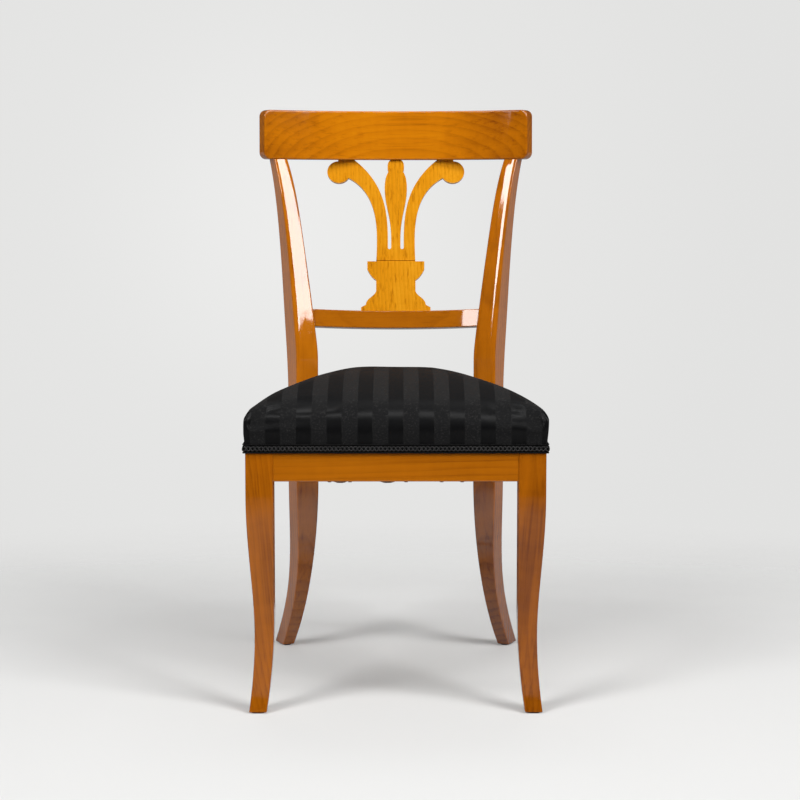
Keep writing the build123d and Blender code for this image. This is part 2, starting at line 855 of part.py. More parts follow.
crest_box_depth = 2 * back_reach
rail_sweep = 3 * back_rail_thickness
with BuildPart() as back_splat:
    with BuildSketch(splat_plane.offset(-splat_thickness / 2)):
        add(plume_outline())
        make_face()
        mirror(about=Plane.YZ)
    extrude(amount=splat_thickness)
    with BuildSketch(splat_plane.offset(-splat_thickness / 2)):
        add(pedestal_outline())
        make_face()
        mirror(about=Plane.YZ)
    extrude(amount=splat_thickness + pedestal_proud)
    with BuildSketch(Plane.XY.offset(crest_bottom)):
        Rectangle(crest_box_depth, crest_box_depth)
    extrude(amount=splat_length, mode=Mode.SUBTRACT)
    add(back_band(back_rail_height, rail_sweep, back_end_x), mode=Mode.SUBTRACT)
    add(splat_tongue(0.0))
    add(splat_dowels(screw_room), mode=Mode.SUBTRACT)
save(back_splat.part, "back_splat")

with BuildPart() as dowels:
    add(splat_dowels(0.0))
save(dowels.part, "splat_dowels")

with BuildPart() as crest_bored:
    add(crest_rail.part)
    add(splat_dowels(screw_room), mode=Mode.SUBTRACT)
save(crest_bored.part, "crest_rail")

# Legs with their mortises and tenons
with BuildPart() as front_leg_right:
    add(front_leg_blank.part)
    for root in (front_rail_root, side_front_root):
        add(rail_tenon(root, glue_room), mode=Mode.SUBTRACT)
    add(screw_spaces, mode=Mode.SUBTRACT)
save(front_leg_right.part, "front_leg_right")

with BuildPart() as front_leg_left:
    mirror(front_leg_right.part, about=Plane.YZ)
save(front_leg_left.part, "front_leg_left")

with BuildPart() as rear_leg_right:
    add(rear_leg_blank.part)
    for root in (rear_rail_root, side_rear_root):
        add(rail_tenon(root, glue_room), mode=Mode.SUBTRACT)
    add(back_tenons(glue_room), mode=Mode.SUBTRACT)
    add(screw_spaces, mode=Mode.SUBTRACT)
    add(post_tenon(0.0))
save(rear_leg_right.part, "rear_leg_right")

with BuildPart() as rear_leg_left:
    mirror(rear_leg_right.part, about=Plane.YZ)
save(rear_leg_left.part, "rear_leg_left")

# Felt glides under the feet
front_glide_mid = seat_half - front_leg_toe_in - front_foot_size / 2
with BuildPart() as front_glide:
    with BuildSketch(Plane.XY):
        with Locations((front_glide_mid, front_y + front_leg_toe_in + front_foot_size / 2)):
            Rectangle(front_foot_size - 2 * glide_inset, front_foot_size - 2 * glide_inset)
    extrude(amount=glide_thickness)

with BuildPart() as rear_glide:
    with BuildSketch(Plane(post_foot, x_dir=tuple(post_across))):
        with Locations((rear_foot_out, rear_foot_back + rear_foot_depth / 2)):
            Rectangle(rear_foot_width - 2 * glide_inset, rear_foot_depth - 2 * glide_inset)
    extrude(amount=glide_thickness)

for place, glide in (("front", front_glide.part), ("rear", rear_glide.part)):
    for side, pad in zip(("right", "left"), both_sides(glide)):
        save(pad, f"foot_glide_{place}_{side}")

# Webbing: lengthwise straps lie flat, crosswise straps pass over and under them
strap_names = ("left", "centre", "right")
cross_names = ("front", "middle", "rear")
for name, x in zip(strap_names, long_strap_places):
    start, end = long_strap_ends
    with BuildPart() as long_strap:
        with BuildSketch(Plane.YZ.offset(x - strap_width / 2)):
            with BuildLine():
                Polyline(
                    (start, rail_bottom),
                    (start, strap_low - strap_thickness),
                    (start + strap_fold, strap_low - strap_thickness),
                    (start + strap_fold, strap_low),
                    (end - strap_fold, strap_low),
                    (end - strap_fold, strap_low - strap_thickness),
                    (end, strap_low - strap_thickness),
                    (end, rail_bottom),
                    close=True,
                )
            make_face()
        extrude(amount=strap_width)
        add(tack_spaces, mode=Mode.SUBTRACT)
    save(long_strap.part, f"webbing_lengthwise_{name}")


def cross_strap_line(row, half, level):
    """One face of a crosswise strap: level is its height where it lies on the rails."""
    points = [(-half, level)]
    for column, x in enumerate(long_strap_places):
        shift = strap_thickness if (row + column) % 2 else -strap_thickness
        near, far = strap_width / 2 + strap_ease, strap_width / 2 + strap_slope
        points += [(x - far, level), (x - near, level + shift), (x + near, level + shift), (x + far, level)]
    return points + [(half, level)]


for row, (name, y, half) in enumerate(zip(cross_names, cross_strap_places, cross_strap_half)):
    upper = cross_strap_line(row, half, rail_bottom)
    lower = cross_strap_line(row, half, strap_low)
    with BuildPart() as cross_strap:
        with BuildSketch(Plane.XZ.offset(-y - strap_width / 2)):
            with BuildLine():
                Polyline(*upper, *reversed(lower), close=True)
            make_face()
            fold_z = strap_low - strap_thickness / 2
            with Locations((half - strap_fold / 2, fold_z), (strap_fold / 2 - half, fold_z)):
                Rectangle(strap_fold, strap_thickness)
        extrude(amount=strap_width)
        add(tack_spaces, mode=Mode.SUBTRACT)
    save(cross_strap.part, f"webbing_crosswise_{name}")

with BuildPart() as tacks:
    with BuildSketch(Plane.XY.offset(strap_low - strap_thickness)):
        with Locations(*strap_tacks()):
            Circle(tack_diameter / 2)
    extrude(amount=tack_length)
    with BuildSketch(Plane.XY.offset(strap_low - strap_thickness)):
        with Locations(*strap_tacks()):
            Circle(tack_head_diameter / 2)
    extrude(amount=-tack_head_height)
save(tacks.part, "webbing_tacks")

# Coil springs on the webbing
spring_low = rail_bottom + strap_thickness + spring_room + spring_wire / 2
spring_high = rail_top + canvas_rise - spring_room - spring_wire / 2
spring_pitch = (spring_high - spring_low) / spring_turns
spring_places = {
    "front_left": (-front_spring_spread / 2, cross_strap_places[0]),
    "front_right": (front_spring_spread / 2, cross_strap_places[0]),
    "middle": (0.0, cross_strap_places[1]),
    "rear_left": (-rear_spring_spread / 2, cross_strap_places[2]),
    "rear_right": (rear_spring_spread / 2, cross_strap_places[2]),
}
spring_rise = spring_pitch / spring_arcs


def coil_point(x, y, step):
    """A point of a spring's centreline, after a number of its arcs."""
    turn = radians(360 / spring_arcs * step)
    return (x + spring_radius * cos(turn), y + spring_radius * sin(turn), spring_low + spring_rise * step)


for name, (x, y) in spring_places.items():
    with BuildPart() as spring:
        with BuildLine() as coil:
            way = Vector(0, 1, spring_pitch / (2 * pi * spring_radius))
            for step in range(spring_turns * spring_arcs):
                arc = TangentArc(coil_point(x, y, step), coil_point(x, y, step + 1), tangent=tuple(way))
                way = arc % 1
        with BuildSketch(Plane(coil.line @ 0, z_dir=coil.line % 0)):
            Circle(spring_wire / 2)
        sweep(path=coil.line)
    save(spring.part, f"seat_spring_{name}")


# Canvas: a tent over the springs, its edge tacked flat on the rails
def canvas_tent(lift):
    """The space under a face of the canvas, lifted by its thickness for the upper face."""
    with BuildPart() as tent:
        foot = seat_sketch(rail_top, -lift, canvas_foot_inset, corner_round_top, side_round)
        top_height = rail_top + canvas_rise + lift
        top = seat_sketch(top_height, -lift, canvas_top_inset, corner_round_top, side_round)
        loft([foot, top], ruled=True)
    return tent.part


canvas_upper = canvas_tent(canvas_thickness)
canvas_rim = seat_block(rail_top, rail_top + canvas_thickness, canvas_edge_inset, corner_round_edge)
with BuildPart() as spring_canvas:
    add(canvas_rim)
    add(canvas_upper)
    add(canvas_tent(0.0), mode=Mode.SUBTRACT)
    add(post_spaces, mode=Mode.SUBTRACT)
save(spring_canvas.part, "spring_canvas")


# Seat form: upright drawn-in sides, a rounded edge and a crown
def seat_form(grow):
    """The stuffed seat above the rails; grow is the thickness of what lies over it."""
    sections = [(0.0, 0.0, corner_round_low)]
    sections.append((-edge_bulge, edge_bulge_height, corner_round_low + edge_bulge))
    sections.append((edge_turn_inset, edge_turn_height, corner_round_turn))
    for step in range(crown_steps + 1):
        share = step / crown_steps
        inset = edge_inset + (crown_inset - edge_inset) * share
        rise = edge_height + crown * (1 - (1 - share) ** crown_power)
        sections.append((inset, rise, corner_round_edge + (corner_round_top - corner_round_edge) * share))
    with BuildPart() as form:
        faces = []
        for inset, rise, turn in sections:
            lift = grow if rise else 0.0
            bend = side_round if rise else arris
            faces.append(seat_sketch(rail_top + rise + lift, -grow, inset, turn + grow, bend))
        loft(faces)
    return form.part


stuffed_form = seat_form(0.0)
with BuildPart() as stuffing:
    add(stuffed_form)
    add(canvas_rim, mode=Mode.SUBTRACT)
    add(canvas_upper, mode=Mode.SUBTRACT)
    add(post_spaces, mode=Mode.SUBTRACT)
save(stuffing.part, "seat_stuffing")

with BuildPart() as seat_cover:
    add(seat_form(cover_thickness))
    add(seat_block(braid_bottom, rail_top, -cover_thickness, corner_round_low + cover_thickness))
    add(stuffed_form, mode=Mode.SUBTRACT)
    add(seat_block(braid_bottom, rail_top, 0.0, corner_round_low), mode=Mode.SUBTRACT)
    add(post_spaces, mode=Mode.SUBTRACT)
save(seat_cover.part, "seat_cover")

# Braid over the cover's lower edge, one run round the front and one across the back
braid_top = braid_bottom + braid_height
with BuildPart() as braid:
    add(seat_block(braid_bottom, braid_top, -front_reach, corner_round_low + front_reach))
    add(
        seat_block(braid_bottom, braid_top, -cover_thickness, corner_round_low + cover_thickness),
        mode=Mode.SUBTRACT,
    )
    add(post_spaces, mode=Mode.SUBTRACT)
braid_runs = braid.part.solids().sort_by(Axis.Y)
for name, run in (("braid_front_and_sides", braid_runs[0]), ("braid_back", braid_runs[-1])):
    save(run, name)
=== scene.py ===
"""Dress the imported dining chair: polished wood, striped seat, braid, webbing and a pale studio."""

import logging
from collections.abc import Callable, Mapping, Sequence
from dataclasses import dataclass, field, replace
from enum import Enum
from math import ceil, cos, exp, pi, radians, sin, tau

import bpy
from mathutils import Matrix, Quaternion, Vector


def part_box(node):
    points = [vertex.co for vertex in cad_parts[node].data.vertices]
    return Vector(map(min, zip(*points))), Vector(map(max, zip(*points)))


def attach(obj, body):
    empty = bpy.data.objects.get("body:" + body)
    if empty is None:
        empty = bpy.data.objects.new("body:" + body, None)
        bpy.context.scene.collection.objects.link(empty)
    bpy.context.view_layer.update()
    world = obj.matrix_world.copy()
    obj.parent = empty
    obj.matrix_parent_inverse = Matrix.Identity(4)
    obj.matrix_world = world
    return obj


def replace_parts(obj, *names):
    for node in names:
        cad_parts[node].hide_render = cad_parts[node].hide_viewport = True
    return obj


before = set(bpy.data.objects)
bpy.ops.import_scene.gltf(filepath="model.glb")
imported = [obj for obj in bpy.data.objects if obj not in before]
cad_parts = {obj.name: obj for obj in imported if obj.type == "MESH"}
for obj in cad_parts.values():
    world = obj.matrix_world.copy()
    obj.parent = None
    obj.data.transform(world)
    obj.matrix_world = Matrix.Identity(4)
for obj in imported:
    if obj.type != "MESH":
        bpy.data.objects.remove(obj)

log = logging.getLogger("dining_chair")

Colour = tuple[float, float, float, float]
Plan = list[Vector]
Scale = tuple[float, float, float]
Range = tuple[float, float]


def srgb(red: int, green: int, blue: int) -> Colour:
    """Turn a colour as seen on a screen into the linear colour of a socket.

    Args:
        red: Red from 0 to 255.
        green: Green from 0 to 255.
        blue: Blue from 0 to 255.

    Returns:
        The linear colour with full alpha.
    """
    channels = [v / 255 for v in (red, green, blue)]
    linear = [v / 12.92 if v <= 0.04045 else ((v + 0.055) / 1.055) ** 2.4 for v in channels]
    return (*linear, 1.0)


def smoothstep(value: float, low: float, high: float) -> float:
    """Rise smoothly from 0 at low to 1 at high.

    Args:
        value: Where the curve is read.
        low: Where it leaves 0.
        high: Where it reaches 1.

    Returns:
        The share between 0 and 1.
    """
    share = min(max((value - low) / (high - low), 0.0), 1.0)
    return share * share * (3 - 2 * share)


class Signal:
    """An output socket that takes part in Python arithmetic."""

    def __init__(self, graph: "Graph", socket: bpy.types.NodeSocket) -> None:
        """Keep the graph and the socket."""
        self.graph = graph
        self.socket = socket

    @property
    def is_number(self) -> bool:
        """Tell whether the socket carries one number."""
        return self.socket.type == "VALUE"

    def __add__(self, other: "Value") -> "Signal":
        """Add."""
        return self.graph.combine("ADD", self, other)

    def __radd__(self, other: "Value") -> "Signal":
        """Add to a value on the left."""
        return self.graph.combine("ADD", other, self)

    def __sub__(self, other: "Value") -> "Signal":
        """Take away."""
        return self.graph.combine("SUBTRACT", self, other)

    def __rsub__(self, other: "Value") -> "Signal":
        """Take away from a value on the left."""
        return self.graph.combine("SUBTRACT", other, self)

    def __mul__(self, other: "Value") -> "Signal":
        """Multiply."""
        return self.graph.combine("MULTIPLY", self, other)

    def __rmul__(self, other: "Value") -> "Signal":
        """Multiply a value on the left."""
        return self.graph.combine("MULTIPLY", other, self)

    def __truediv__(self, other: "Value") -> "Signal":
        """Divide."""
        return self.graph.combine("DIVIDE", self, other)

    def __pow__(self, other: "Value") -> "Signal":
        """Raise to a power."""
        return self.graph.combine("POWER", self, other)

    def fract(self) -> "Signal":
        """Keep what lies behind the decimal point."""
        return self.graph.node("ShaderNodeMath", {"operation": "FRACT"}, {0: self})

    def wave(self) -> "Signal":
        """Take the sine."""
        return self.graph.node("ShaderNodeMath", {"operation": "SINE"}, {0: self})

    def size(self) -> "Signal":
        """Take the value without its sign."""
        return self.graph.node("ShaderNodeMath", {"operation": "ABSOLUTE"}, {0: self})

    def most(self, other: "Value") -> "Signal":
        """Take the larger of two values."""
        return self.graph.combine("MAXIMUM", self, other)

    def parts(self) -> list["Signal"]:
        """Split a vector into its three numbers."""
        split = self.graph.node("ShaderNodeSeparateXYZ", None, {0: self})
        return [Signal(self.graph, socket) for socket in split.socket.node.outputs]

    def length(self) -> "Signal":
        """Take the length of a vector."""
        return self.graph.node("ShaderNodeVectorMath", {"operation": "LENGTH"}, {0: self}, "Value")

    def rise(self, low: float, high: float) -> "Signal":
        """Rise smoothly from 0 to 1.

        Args:
            low: Where the rise starts.
            high: Where it ends.

        Returns:
            The share between 0 and 1.
        """
        ends = {"Value": self, "From Min": low, "From Max": high}
        return self.graph.node("ShaderNodeMapRange", {"interpolation_type": "SMOOTHSTEP"}, ends)


Value = Signal | float | tuple


class Graph:
    """The node tree of one material or of the world."""

    def __init__(self, tree: bpy.types.NodeTree) -> None:
        """Start from an empty tree."""
        self.tree = tree
        tree.nodes.clear()

    def node(
        self,
        kind: str,
        settings: Mapping[str, object] | None = None,
        sockets: Mapping[str | int, Value] | None = None,
        out: str | int = 0,
    ) -> Signal:
        """Add one node, its settings first and then its sockets.

        Args:
            kind: The node's type name.
            settings: Properties of the node; "stops" are a ramp's places and colours.
            sockets: Values or signals by socket name or number.
            out: The output that is handed back.

        Returns:
            That output, or the first input of a node that has no output.
        """
        made = self.tree.nodes.new(kind)
        for name, value in (settings or {}).items():
            if name == "stops":
                self.set_stops(made.color_ramp, value)
            else:
                setattr(made, name, value)
        for name, value in (sockets or {}).items():
            if isinstance(value, Signal):
                self.tree.links.new(value.socket, made.inputs[name])
            else:
                made.inputs[name].default_value = value
        return Signal(self, made.outputs[out] if made.outputs else made.inputs[0])

    @staticmethod
    def set_stops(ramp: bpy.types.ColorRamp, stops: Sequence[tuple[float, Colour]]) -> None:
        """Give a ramp its places and colours.

        Args:
            ramp: The ramp, with its two first stops.
            stops: Place and colour of each stop, in rising order.
        """
        while len(ramp.elements) < len(stops):
            ramp.elements.new(1.0)
        for element, (place, colour) in zip(ramp.elements, stops):
            element.position = place
            element.color = colour

    def combine(self, operation: str, left: Value, right: Value) -> Signal:
        """Join two values by one operation.

        Args:
            operation: Name of the operation, as Math and Vector Math call it.
            left: First value.
            right: Second value.

        Returns:
            A number where both are numbers, otherwise a vector.
        """
        sides = (left, right)
        plain = [v.is_number if isinstance(v, Signal) else not isinstance(v, tuple) for v in sides]
        if all(plain):
            return self.node("ShaderNodeMath", {"operation": operation}, {0: left, 1: right})
        if plain[1] and operation == "MULTIPLY":
            return self.node("ShaderNodeVectorMath", {"operation": "SCALE"}, {0: left, "Scale": right})
        return self.node("ShaderNodeVectorMath", {"operation": operation}, {0: left, 1: right})

    def place(self) -> Signal:
        """Give the place on the object, in metres."""
        return self.node("ShaderNodeTexCoord", None, None, "Object")

    def noise(self, at: Signal, scale: float = 1.0, detail: float = 3.0, rough: float = 0.55) -> Signal:
        """Read soft noise.

        Args:
            at: Where it is read.
            scale: How many features fit in a unit.
            detail: How many finer layers are added.
            rough: How strong the finer layers are.

        Returns:
            A number around one half.
        """
        ends = {"Vector": at, "Scale": scale, "Detail": detail, "Roughness": rough}
        return self.node("ShaderNodeTexNoise", None, ends)

    def mix(self, share: Signal, first: Signal | Colour, second: Signal | Colour) -> Signal:
        """Mix two colours.

        Args:
            share: How much of the second colour shows.
            first: Colour at share 0.
            second: Colour at share 1.

        Returns:
            The mixed colour.
        """
        return self.node("ShaderNodeMix", {"data_type": "RGBA"}, {0: share, 6: first, 7: second}, 2)

    def ramp(self, share: Signal, *stops: tuple[float, Colour]) -> Signal:
        """Read a colour ramp.

        Args:
            share: Where the ramp is read.
            stops: Place and colour of each stop.

        Returns:
            The colour.
        """
        return self.node("ShaderNodeValToRGB", {"stops": stops}, {0: share})

    def bump(self, height: Signal, depth: float, strength: float = 1.0) -> Signal:
        """Turn a height into a normal.

        Args:
            height: Height in units of the depth.
            depth: What a height of 1 measures, in metres.
            strength: Share of the effect.

        Returns:
            The normal.
        """
        ends = {"Height": height, "Distance": depth, "Strength": strength}
        return self.node("ShaderNodeBump", None, ends)

    def surface(self, **sockets: Value) -> None:
        """End in one surface shader.

        Args:
            sockets: Values by socket name, with _ for each space.
        """
        named = {name.replace("_", " "): value for name, value in sockets.items()}
        shader = self.node("ShaderNodeBsdfPrincipled", None, named)
        self.node("ShaderNodeOutputMaterial", None, {"Surface": shader})


class Finish:
    """A surface that paints its own material."""

    def paint(self, g: Graph) -> None:
        """Draw the nodes of the finish."""
        raise NotImplementedError

    def make(self, name: str) -> bpy.types.Material:
        """Build the material.

        Args:
            name: Its name.

        Returns:
            The material.
        """
        made = bpy.data.materials.new(name)
        made.use_nodes = True
        self.paint(Graph(made.node_tree))
        return made


class Slot(Enum):
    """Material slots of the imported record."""

    FABRIC = "striped_fabric"
    BRAID = "braid"
    FELT = "felt"
    WEBBING = "webbing"
    CANVAS = "canvas"


class Grain(Enum):
    """Turn that lays the grain of a member along the first axis, in degrees."""

    ACROSS = (0, 0, 0)
    UPRIGHT = (0, 90, 0)
    LENGTHWISE = (0, 0, -90)


@dataclass(frozen=True)
class LogCut:
    """How a member lies in the log it was sawn from."""

    grain: Grain
    heart: tuple[float, float, float]
    tilt: tuple[float, float, float] = (0.0, 0.0, 0.0)

    def turn(self) -> tuple[float, ...]:
        """Give the whole turn in radians."""
        return tuple(radians(a + b) for a, b in zip(self.grain.value, self.tilt))


@dataclass(frozen=True)
class EdgeRoll:
    """How the edges of both back posts are rolled over by hand, with the line of the outer edge."""

    foot: tuple[float, float]
    turn: float
    edge: float = 0.0195
    rise_low: float = 0.492
    rise_run: float = 0.3305
    rise_share: tuple[float, float] = (-0.0041, 0.0191)
    width: float = 0.0095
    slope: float = 0.36
    post_width: tuple[float, float] = (0.039, 0.015)
    inner_width: float = 0.011
    inner_slope: float = 0.085
    starts: Range = (0.44, 0.50)

    def height(self, g: Graph) -> Signal:
        """Give how far the polish lies below the flat face.

        Args:
            g: The graph of the post's finish.

        Returns:
            A height in metres, 0 on the flat.
        """
        x, y, z = g.place().parts()
        across = (x.size() - self.foot[0]) * cos(self.turn) - (y - self.foot[1]) * sin(self.turn)
        up = ((z - self.rise_low) / self.rise_run).most(0.0)
        edge = self.edge + up * self.rise_share[0] + up * up * self.rise_share[1]
        outer = (across - edge + self.width).most(0.0)
        inner_edge = edge - self.post_width[0] + up * self.post_width[1]
        inner = (inner_edge + self.inner_width - across).most(0.0)
        rolled = outer * outer * (self.slope / (2 * self.width))
        eased = inner * inner * (self.inner_slope / (2 * self.inner_width))
        return (rolled + eased) * z.rise(*self.starts) * -1


@dataclass(frozen=True)
class PolishedWood(Finish):
    """Fruit wood under a clear hand-rubbed polish."""

    light: Colour
    middle: Colour
    dark: Colour
    ring_width: float = 0.0085
    ring_wander: float = 0.016
    ring_share: float = 0.20
    cloud_share: float = 0.58
    line_share: float = 0.18
    fibre_share: float = 0.20
    curl_share: float = 0.16
    pore_share: float = 0.18
    polish_wave: float = 0.00010
    gloss: float = 0.03
    shine: float = 0.60
    dark_line_height: float = 0.0
    dark_line_colour: Colour = srgb(58, 26, 4)
    # Painted shade: the tone darkens towards the floor, below the heights in the range, where the seat shades
    # the legs.
    painted_foot_shade: float = 0.0
    painted_foot_range: Range = (0.20, 0.44)
    # Painted shade: the tone darkens towards the left and the right end, by x, where the lamps light the
    # member less.
    painted_side_shade: tuple[float, float] = (0.0, 0.0)
    painted_side_range: Range = (0.05, 0.19)
    dark_line_spread: float = 0.0000008
    wander_grain: Scale = (2.2, 12.0, 12.0)
    cloud_grain: Scale = (5.0, 24.0, 24.0)
    line_grain: Scale = (2.6, 240.0, 240.0)
    fibre_grain: Scale = (26.0, 1100.0, 1100.0)
    curl_grain: Scale = (64.0, 18.0, 18.0)
    cut: LogCut = LogCut(Grain.ACROSS, (0.0, 0.0, 0.0))
    roll: EdgeRoll | None = None

    def paint(self, g: Graph) -> None:
        """Draw the nodes of the finish.

        Args:
            g: The graph to fill.
        """
        ends = {"Vector": g.place(), "Location": self.cut.heart, "Rotation": self.cut.turn()}
        at = g.node("ShaderNodeMapping", None, ends)
        wander = g.noise(at * self.wander_grain) - 0.5
        radius = (at * (0.0, 1.0, 1.0)).length() + wander * self.ring_wander
        ring = (radius / self.ring_width).fract()
        late = ring**2.5 * (1 - ring.rise(0.86, 1.0))
        cloud = g.noise(at * self.cloud_grain)
        line = g.noise(at * self.line_grain, rough=0.6).rise(0.50, 0.74)
        fibre = g.noise(at * self.fibre_grain, rough=0.6)
        curl = g.noise(at * self.curl_grain, detail=2.0)
        tone = (
            0.36
            + (cloud - 0.5) * self.cloud_share
            + (curl - 0.5) * self.curl_share
            + (fibre - 0.5) * self.fibre_share
            + line * self.line_share
            + late * self.ring_share
        )
        x, _, upright = g.place().parts()
        # Painted shade: darker tone towards the left and the right end of the member, by x.
        if any(self.painted_side_shade):
            painted_left_shade, painted_right_shade = self.painted_side_shade
            tone = tone + (-1 * x).rise(*self.painted_side_range) * painted_left_shade + x.rise(*self.painted_side_range) * painted_right_shade
        # Painted shade: darker tone towards the floor, below the given heights.
        if self.painted_foot_shade:
            tone = tone + (1 - upright.rise(*self.painted_foot_range)) * self.painted_foot_shade
        colour = g.ramp(tone, (0.10, self.light), (0.45, self.middle), (1.0, self.dark))
        pore = fibre.rise(0.62, 0.76)
        colour = g.mix(pore * self.pore_share, colour, self.dark)
        # A thin darker line across the member at the given height; on the splat, the top of the pedestal cap.
        if self.dark_line_height:
            apart = upright - self.dark_line_height
            dark_line = 1 - (apart * apart).rise(0.0, self.dark_line_spread)
            colour = g.mix(dark_line * 0.75, colour, self.dark_line_colour)
        wave = (g.noise(at, 26.0, 1.0) + fibre * 0.03) * self.polish_wave
        if self.roll:
            wave = wave + self.roll.height(g)
        g.surface(
            Base_Color=colour,
            Roughness=self.gloss + cloud * 0.02 + pore * 0.04,
            Normal=g.bump(wave, 1.0),
            Specular_IOR_Level=self.shine,
        )


@dataclass(frozen=True)
class PlainWood(Finish):
    """Sawn wood without polish, as used inside the seat."""

    pale: Colour = srgb(196, 160, 112)
    brown: Colour = srgb(142, 104, 64)
    streak_grain: Scale = (14.0, 14.0, 320.0)
    saw_grain: Scale = (60.0, 60.0, 1400.0)

    def paint(self, g: Graph) -> None:
        """Draw the nodes of the finish.

        Args:
            g: The graph to fill.
        """
        at = g.place()
        streak = g.noise(at * self.streak_grain, detail=4.0)
        saw = g.noise(at * self.saw_grain, detail=2.0)
        g.surface(
            Base_Color=g.ramp(streak * 0.7 + saw * 0.3, (0.3, self.pale), (0.7, self.brown)),
            Roughness=0.62 + saw * 0.25,
            Normal=g.bump(streak * 0.4 + saw * 0.6, 0.0003),
        )


@dataclass(frozen=True)
class StripedSatin(Finish):
    """Near black upholstery fabric: smooth satin stripes beside matte ribbed ones."""

    period: float = 0.0447
    satin_share: float = 0.492
    satin: Colour = srgb(5, 5, 6)
    ribbed: Colour = srgb(13, 13, 14)
    fleck: Colour = srgb(62, 61, 60)
    # Colour of the painted shadow along the corner folds.
    painted_crease_shadow: Colour = srgb(2, 2, 2)
    thread: float = 0.0011
    fold_at: float = 0.2122
    fold_front: float = -0.2585
    fold_lean: float = 0.05
    # Where the seat's top starts behind the front edge: the satin stripes are dulled there and the ribbed
    # ones get painted light.
    wear_and_painted_light_from: Range = (0.010, 0.034)
    stripe_blur: float = 0.008
    painted_crease_spread: float = 0.0000012
    slub_grain: Scale = (340.0, 520.0, 1.0)
    gloss: float = 0.38
    dulled: float = 0.42
    shine: float = 0.16
    sheen: float = 0.012

    def paint(self, g: Graph) -> None:
        """Draw the nodes from the cloth's own two coordinates.

        Args:
            g: The graph to fill.
        """
        cloth = g.node("ShaderNodeAttribute", {"attribute_name": SeatCushion.CLOTH}, None, "Vector")
        across, along, _ = cloth.parts()
        off = ((across / self.period + 0.5).fract() - 0.5).size()
        half = self.satin_share / 2
        matte = off.rise(half - self.stripe_blur, half + self.stripe_blur)
        behind = along - self.fold_front
        weft = (along * (tau / self.thread)).wave() * 0.5 + 0.5
        warp = (across * (tau / self.thread)).wave() * 0.5 + 0.5
        slub = g.noise(cloth * self.slub_grain, rough=0.75)
        wear = g.noise(cloth, 9.0)
        flecks = slub.rise(0.50, 0.74) * matte
        # Share of the seat's top: it dulls the satin stripes and lightens the ribbed ones, a painted light.
        wear_and_painted_top_light = behind.rise(*self.wear_and_painted_light_from)
        colour = g.mix(matte, self.satin, self.ribbed)
        colour = g.mix(flecks * (0.30 + wear * 0.4), colour, self.fleck)
        # Painted light: the ribbed stripes are lightened on the seat's top.
        colour = g.mix(matte * wear_and_painted_top_light * 0.12, colour, self.fleck)
        height = matte * (0.3 + weft * 0.55 + slub * 0.5) + (1 - matte) * (warp * 0.12 + slub * 0.1)
        beyond = across.size() + behind * self.fold_lean - self.fold_at
        on_front = 1 - behind.rise(-0.006, 0.004)
        # Painted shadow: a dark line along each corner fold on the front of the cushion; the fold's step
        # itself is a bump.
        painted_crease_shadow = (1 - (beyond * beyond).rise(0.0, self.painted_crease_spread)) * on_front
        g.surface(
            Base_Color=g.mix(painted_crease_shadow * 0.8, colour, self.painted_crease_shadow),
            Roughness=self.gloss + (matte + (1 - matte) * wear_and_painted_top_light) * self.dulled + (slub - 0.5) * 0.2,
            Normal=g.bump(height + beyond.rise(-0.0004, 0.0016) * on_front * 4.0, 0.00022, 0.7),
            Specular_IOR_Level=self.shine,
            Sheen_Weight=self.sheen,
            Sheen_Roughness=0.4,
        )


@dataclass(frozen=True)
class SpunThread(Finish):
    """Twisted or woven thread: braid, webbing, canvas or felt, by its colours and its twist."""

    dark: Colour
    pale: Colour
    twist: float
    depth: float
    rough: float = 0.8
    shine: float = 0.3

    def paint(self, g: Graph) -> None:
        """Draw the nodes of the finish.

        Args:
            g: The graph to fill.
        """
        at = g.place()
        first, second, third = at.parts()
        turn = tau / self.twist
        warp = ((first + second * 0.35) * turn).wave() * 0.5 + 0.5
        weft = ((second - first * 0.35 + third) * turn).wave() * 0.5 + 0.5
        fluff = g.noise(at, 1.6 / self.twist, 4.0, 0.65)
        stain = g.noise(at, 14.0)
        weave = warp * weft * 0.55 + fluff * 0.45
        g.surface(
            Base_Color=g.ramp(weave * 0.7 + stain * 0.3, (0.25, self.dark), (0.75, self.pale)),
            Roughness=self.rough + (fluff - 0.5) * 0.2,
            Normal=g.bump(weave, self.depth, 0.8),
            Specular_IOR_Level=self.shine,
        )


@dataclass(frozen=True)
class BareMetal(Finish):
    """Steel or iron with a handled, slightly spotted surface."""

    clean: Colour
    spotted: Colour
    metal: float
    rough: float
    scratch_grain: Scale = (900.0, 900.0, 120.0)

    def paint(self, g: Graph) -> None:
        """Draw the nodes of the finish.

        Args:
            g: The graph to fill.
        """
        at = g.place()
        spots = g.noise(at, 180.0, 4.0, 0.6).rise(0.48, 0.72)
        scratch = g.noise(at * self.scratch_grain, detail=2.0)
        g.surface(
            Base_Color=g.mix(spots, self.clean, self.spotted),
            Metallic=self.metal - spots * 0.4,
            Roughness=self.rough + spots * 0.3 + (scratch - 0.5) * 0.1,
            Normal=g.bump(spots * 0.6 + scratch * 0.4, 0.0001),
        )


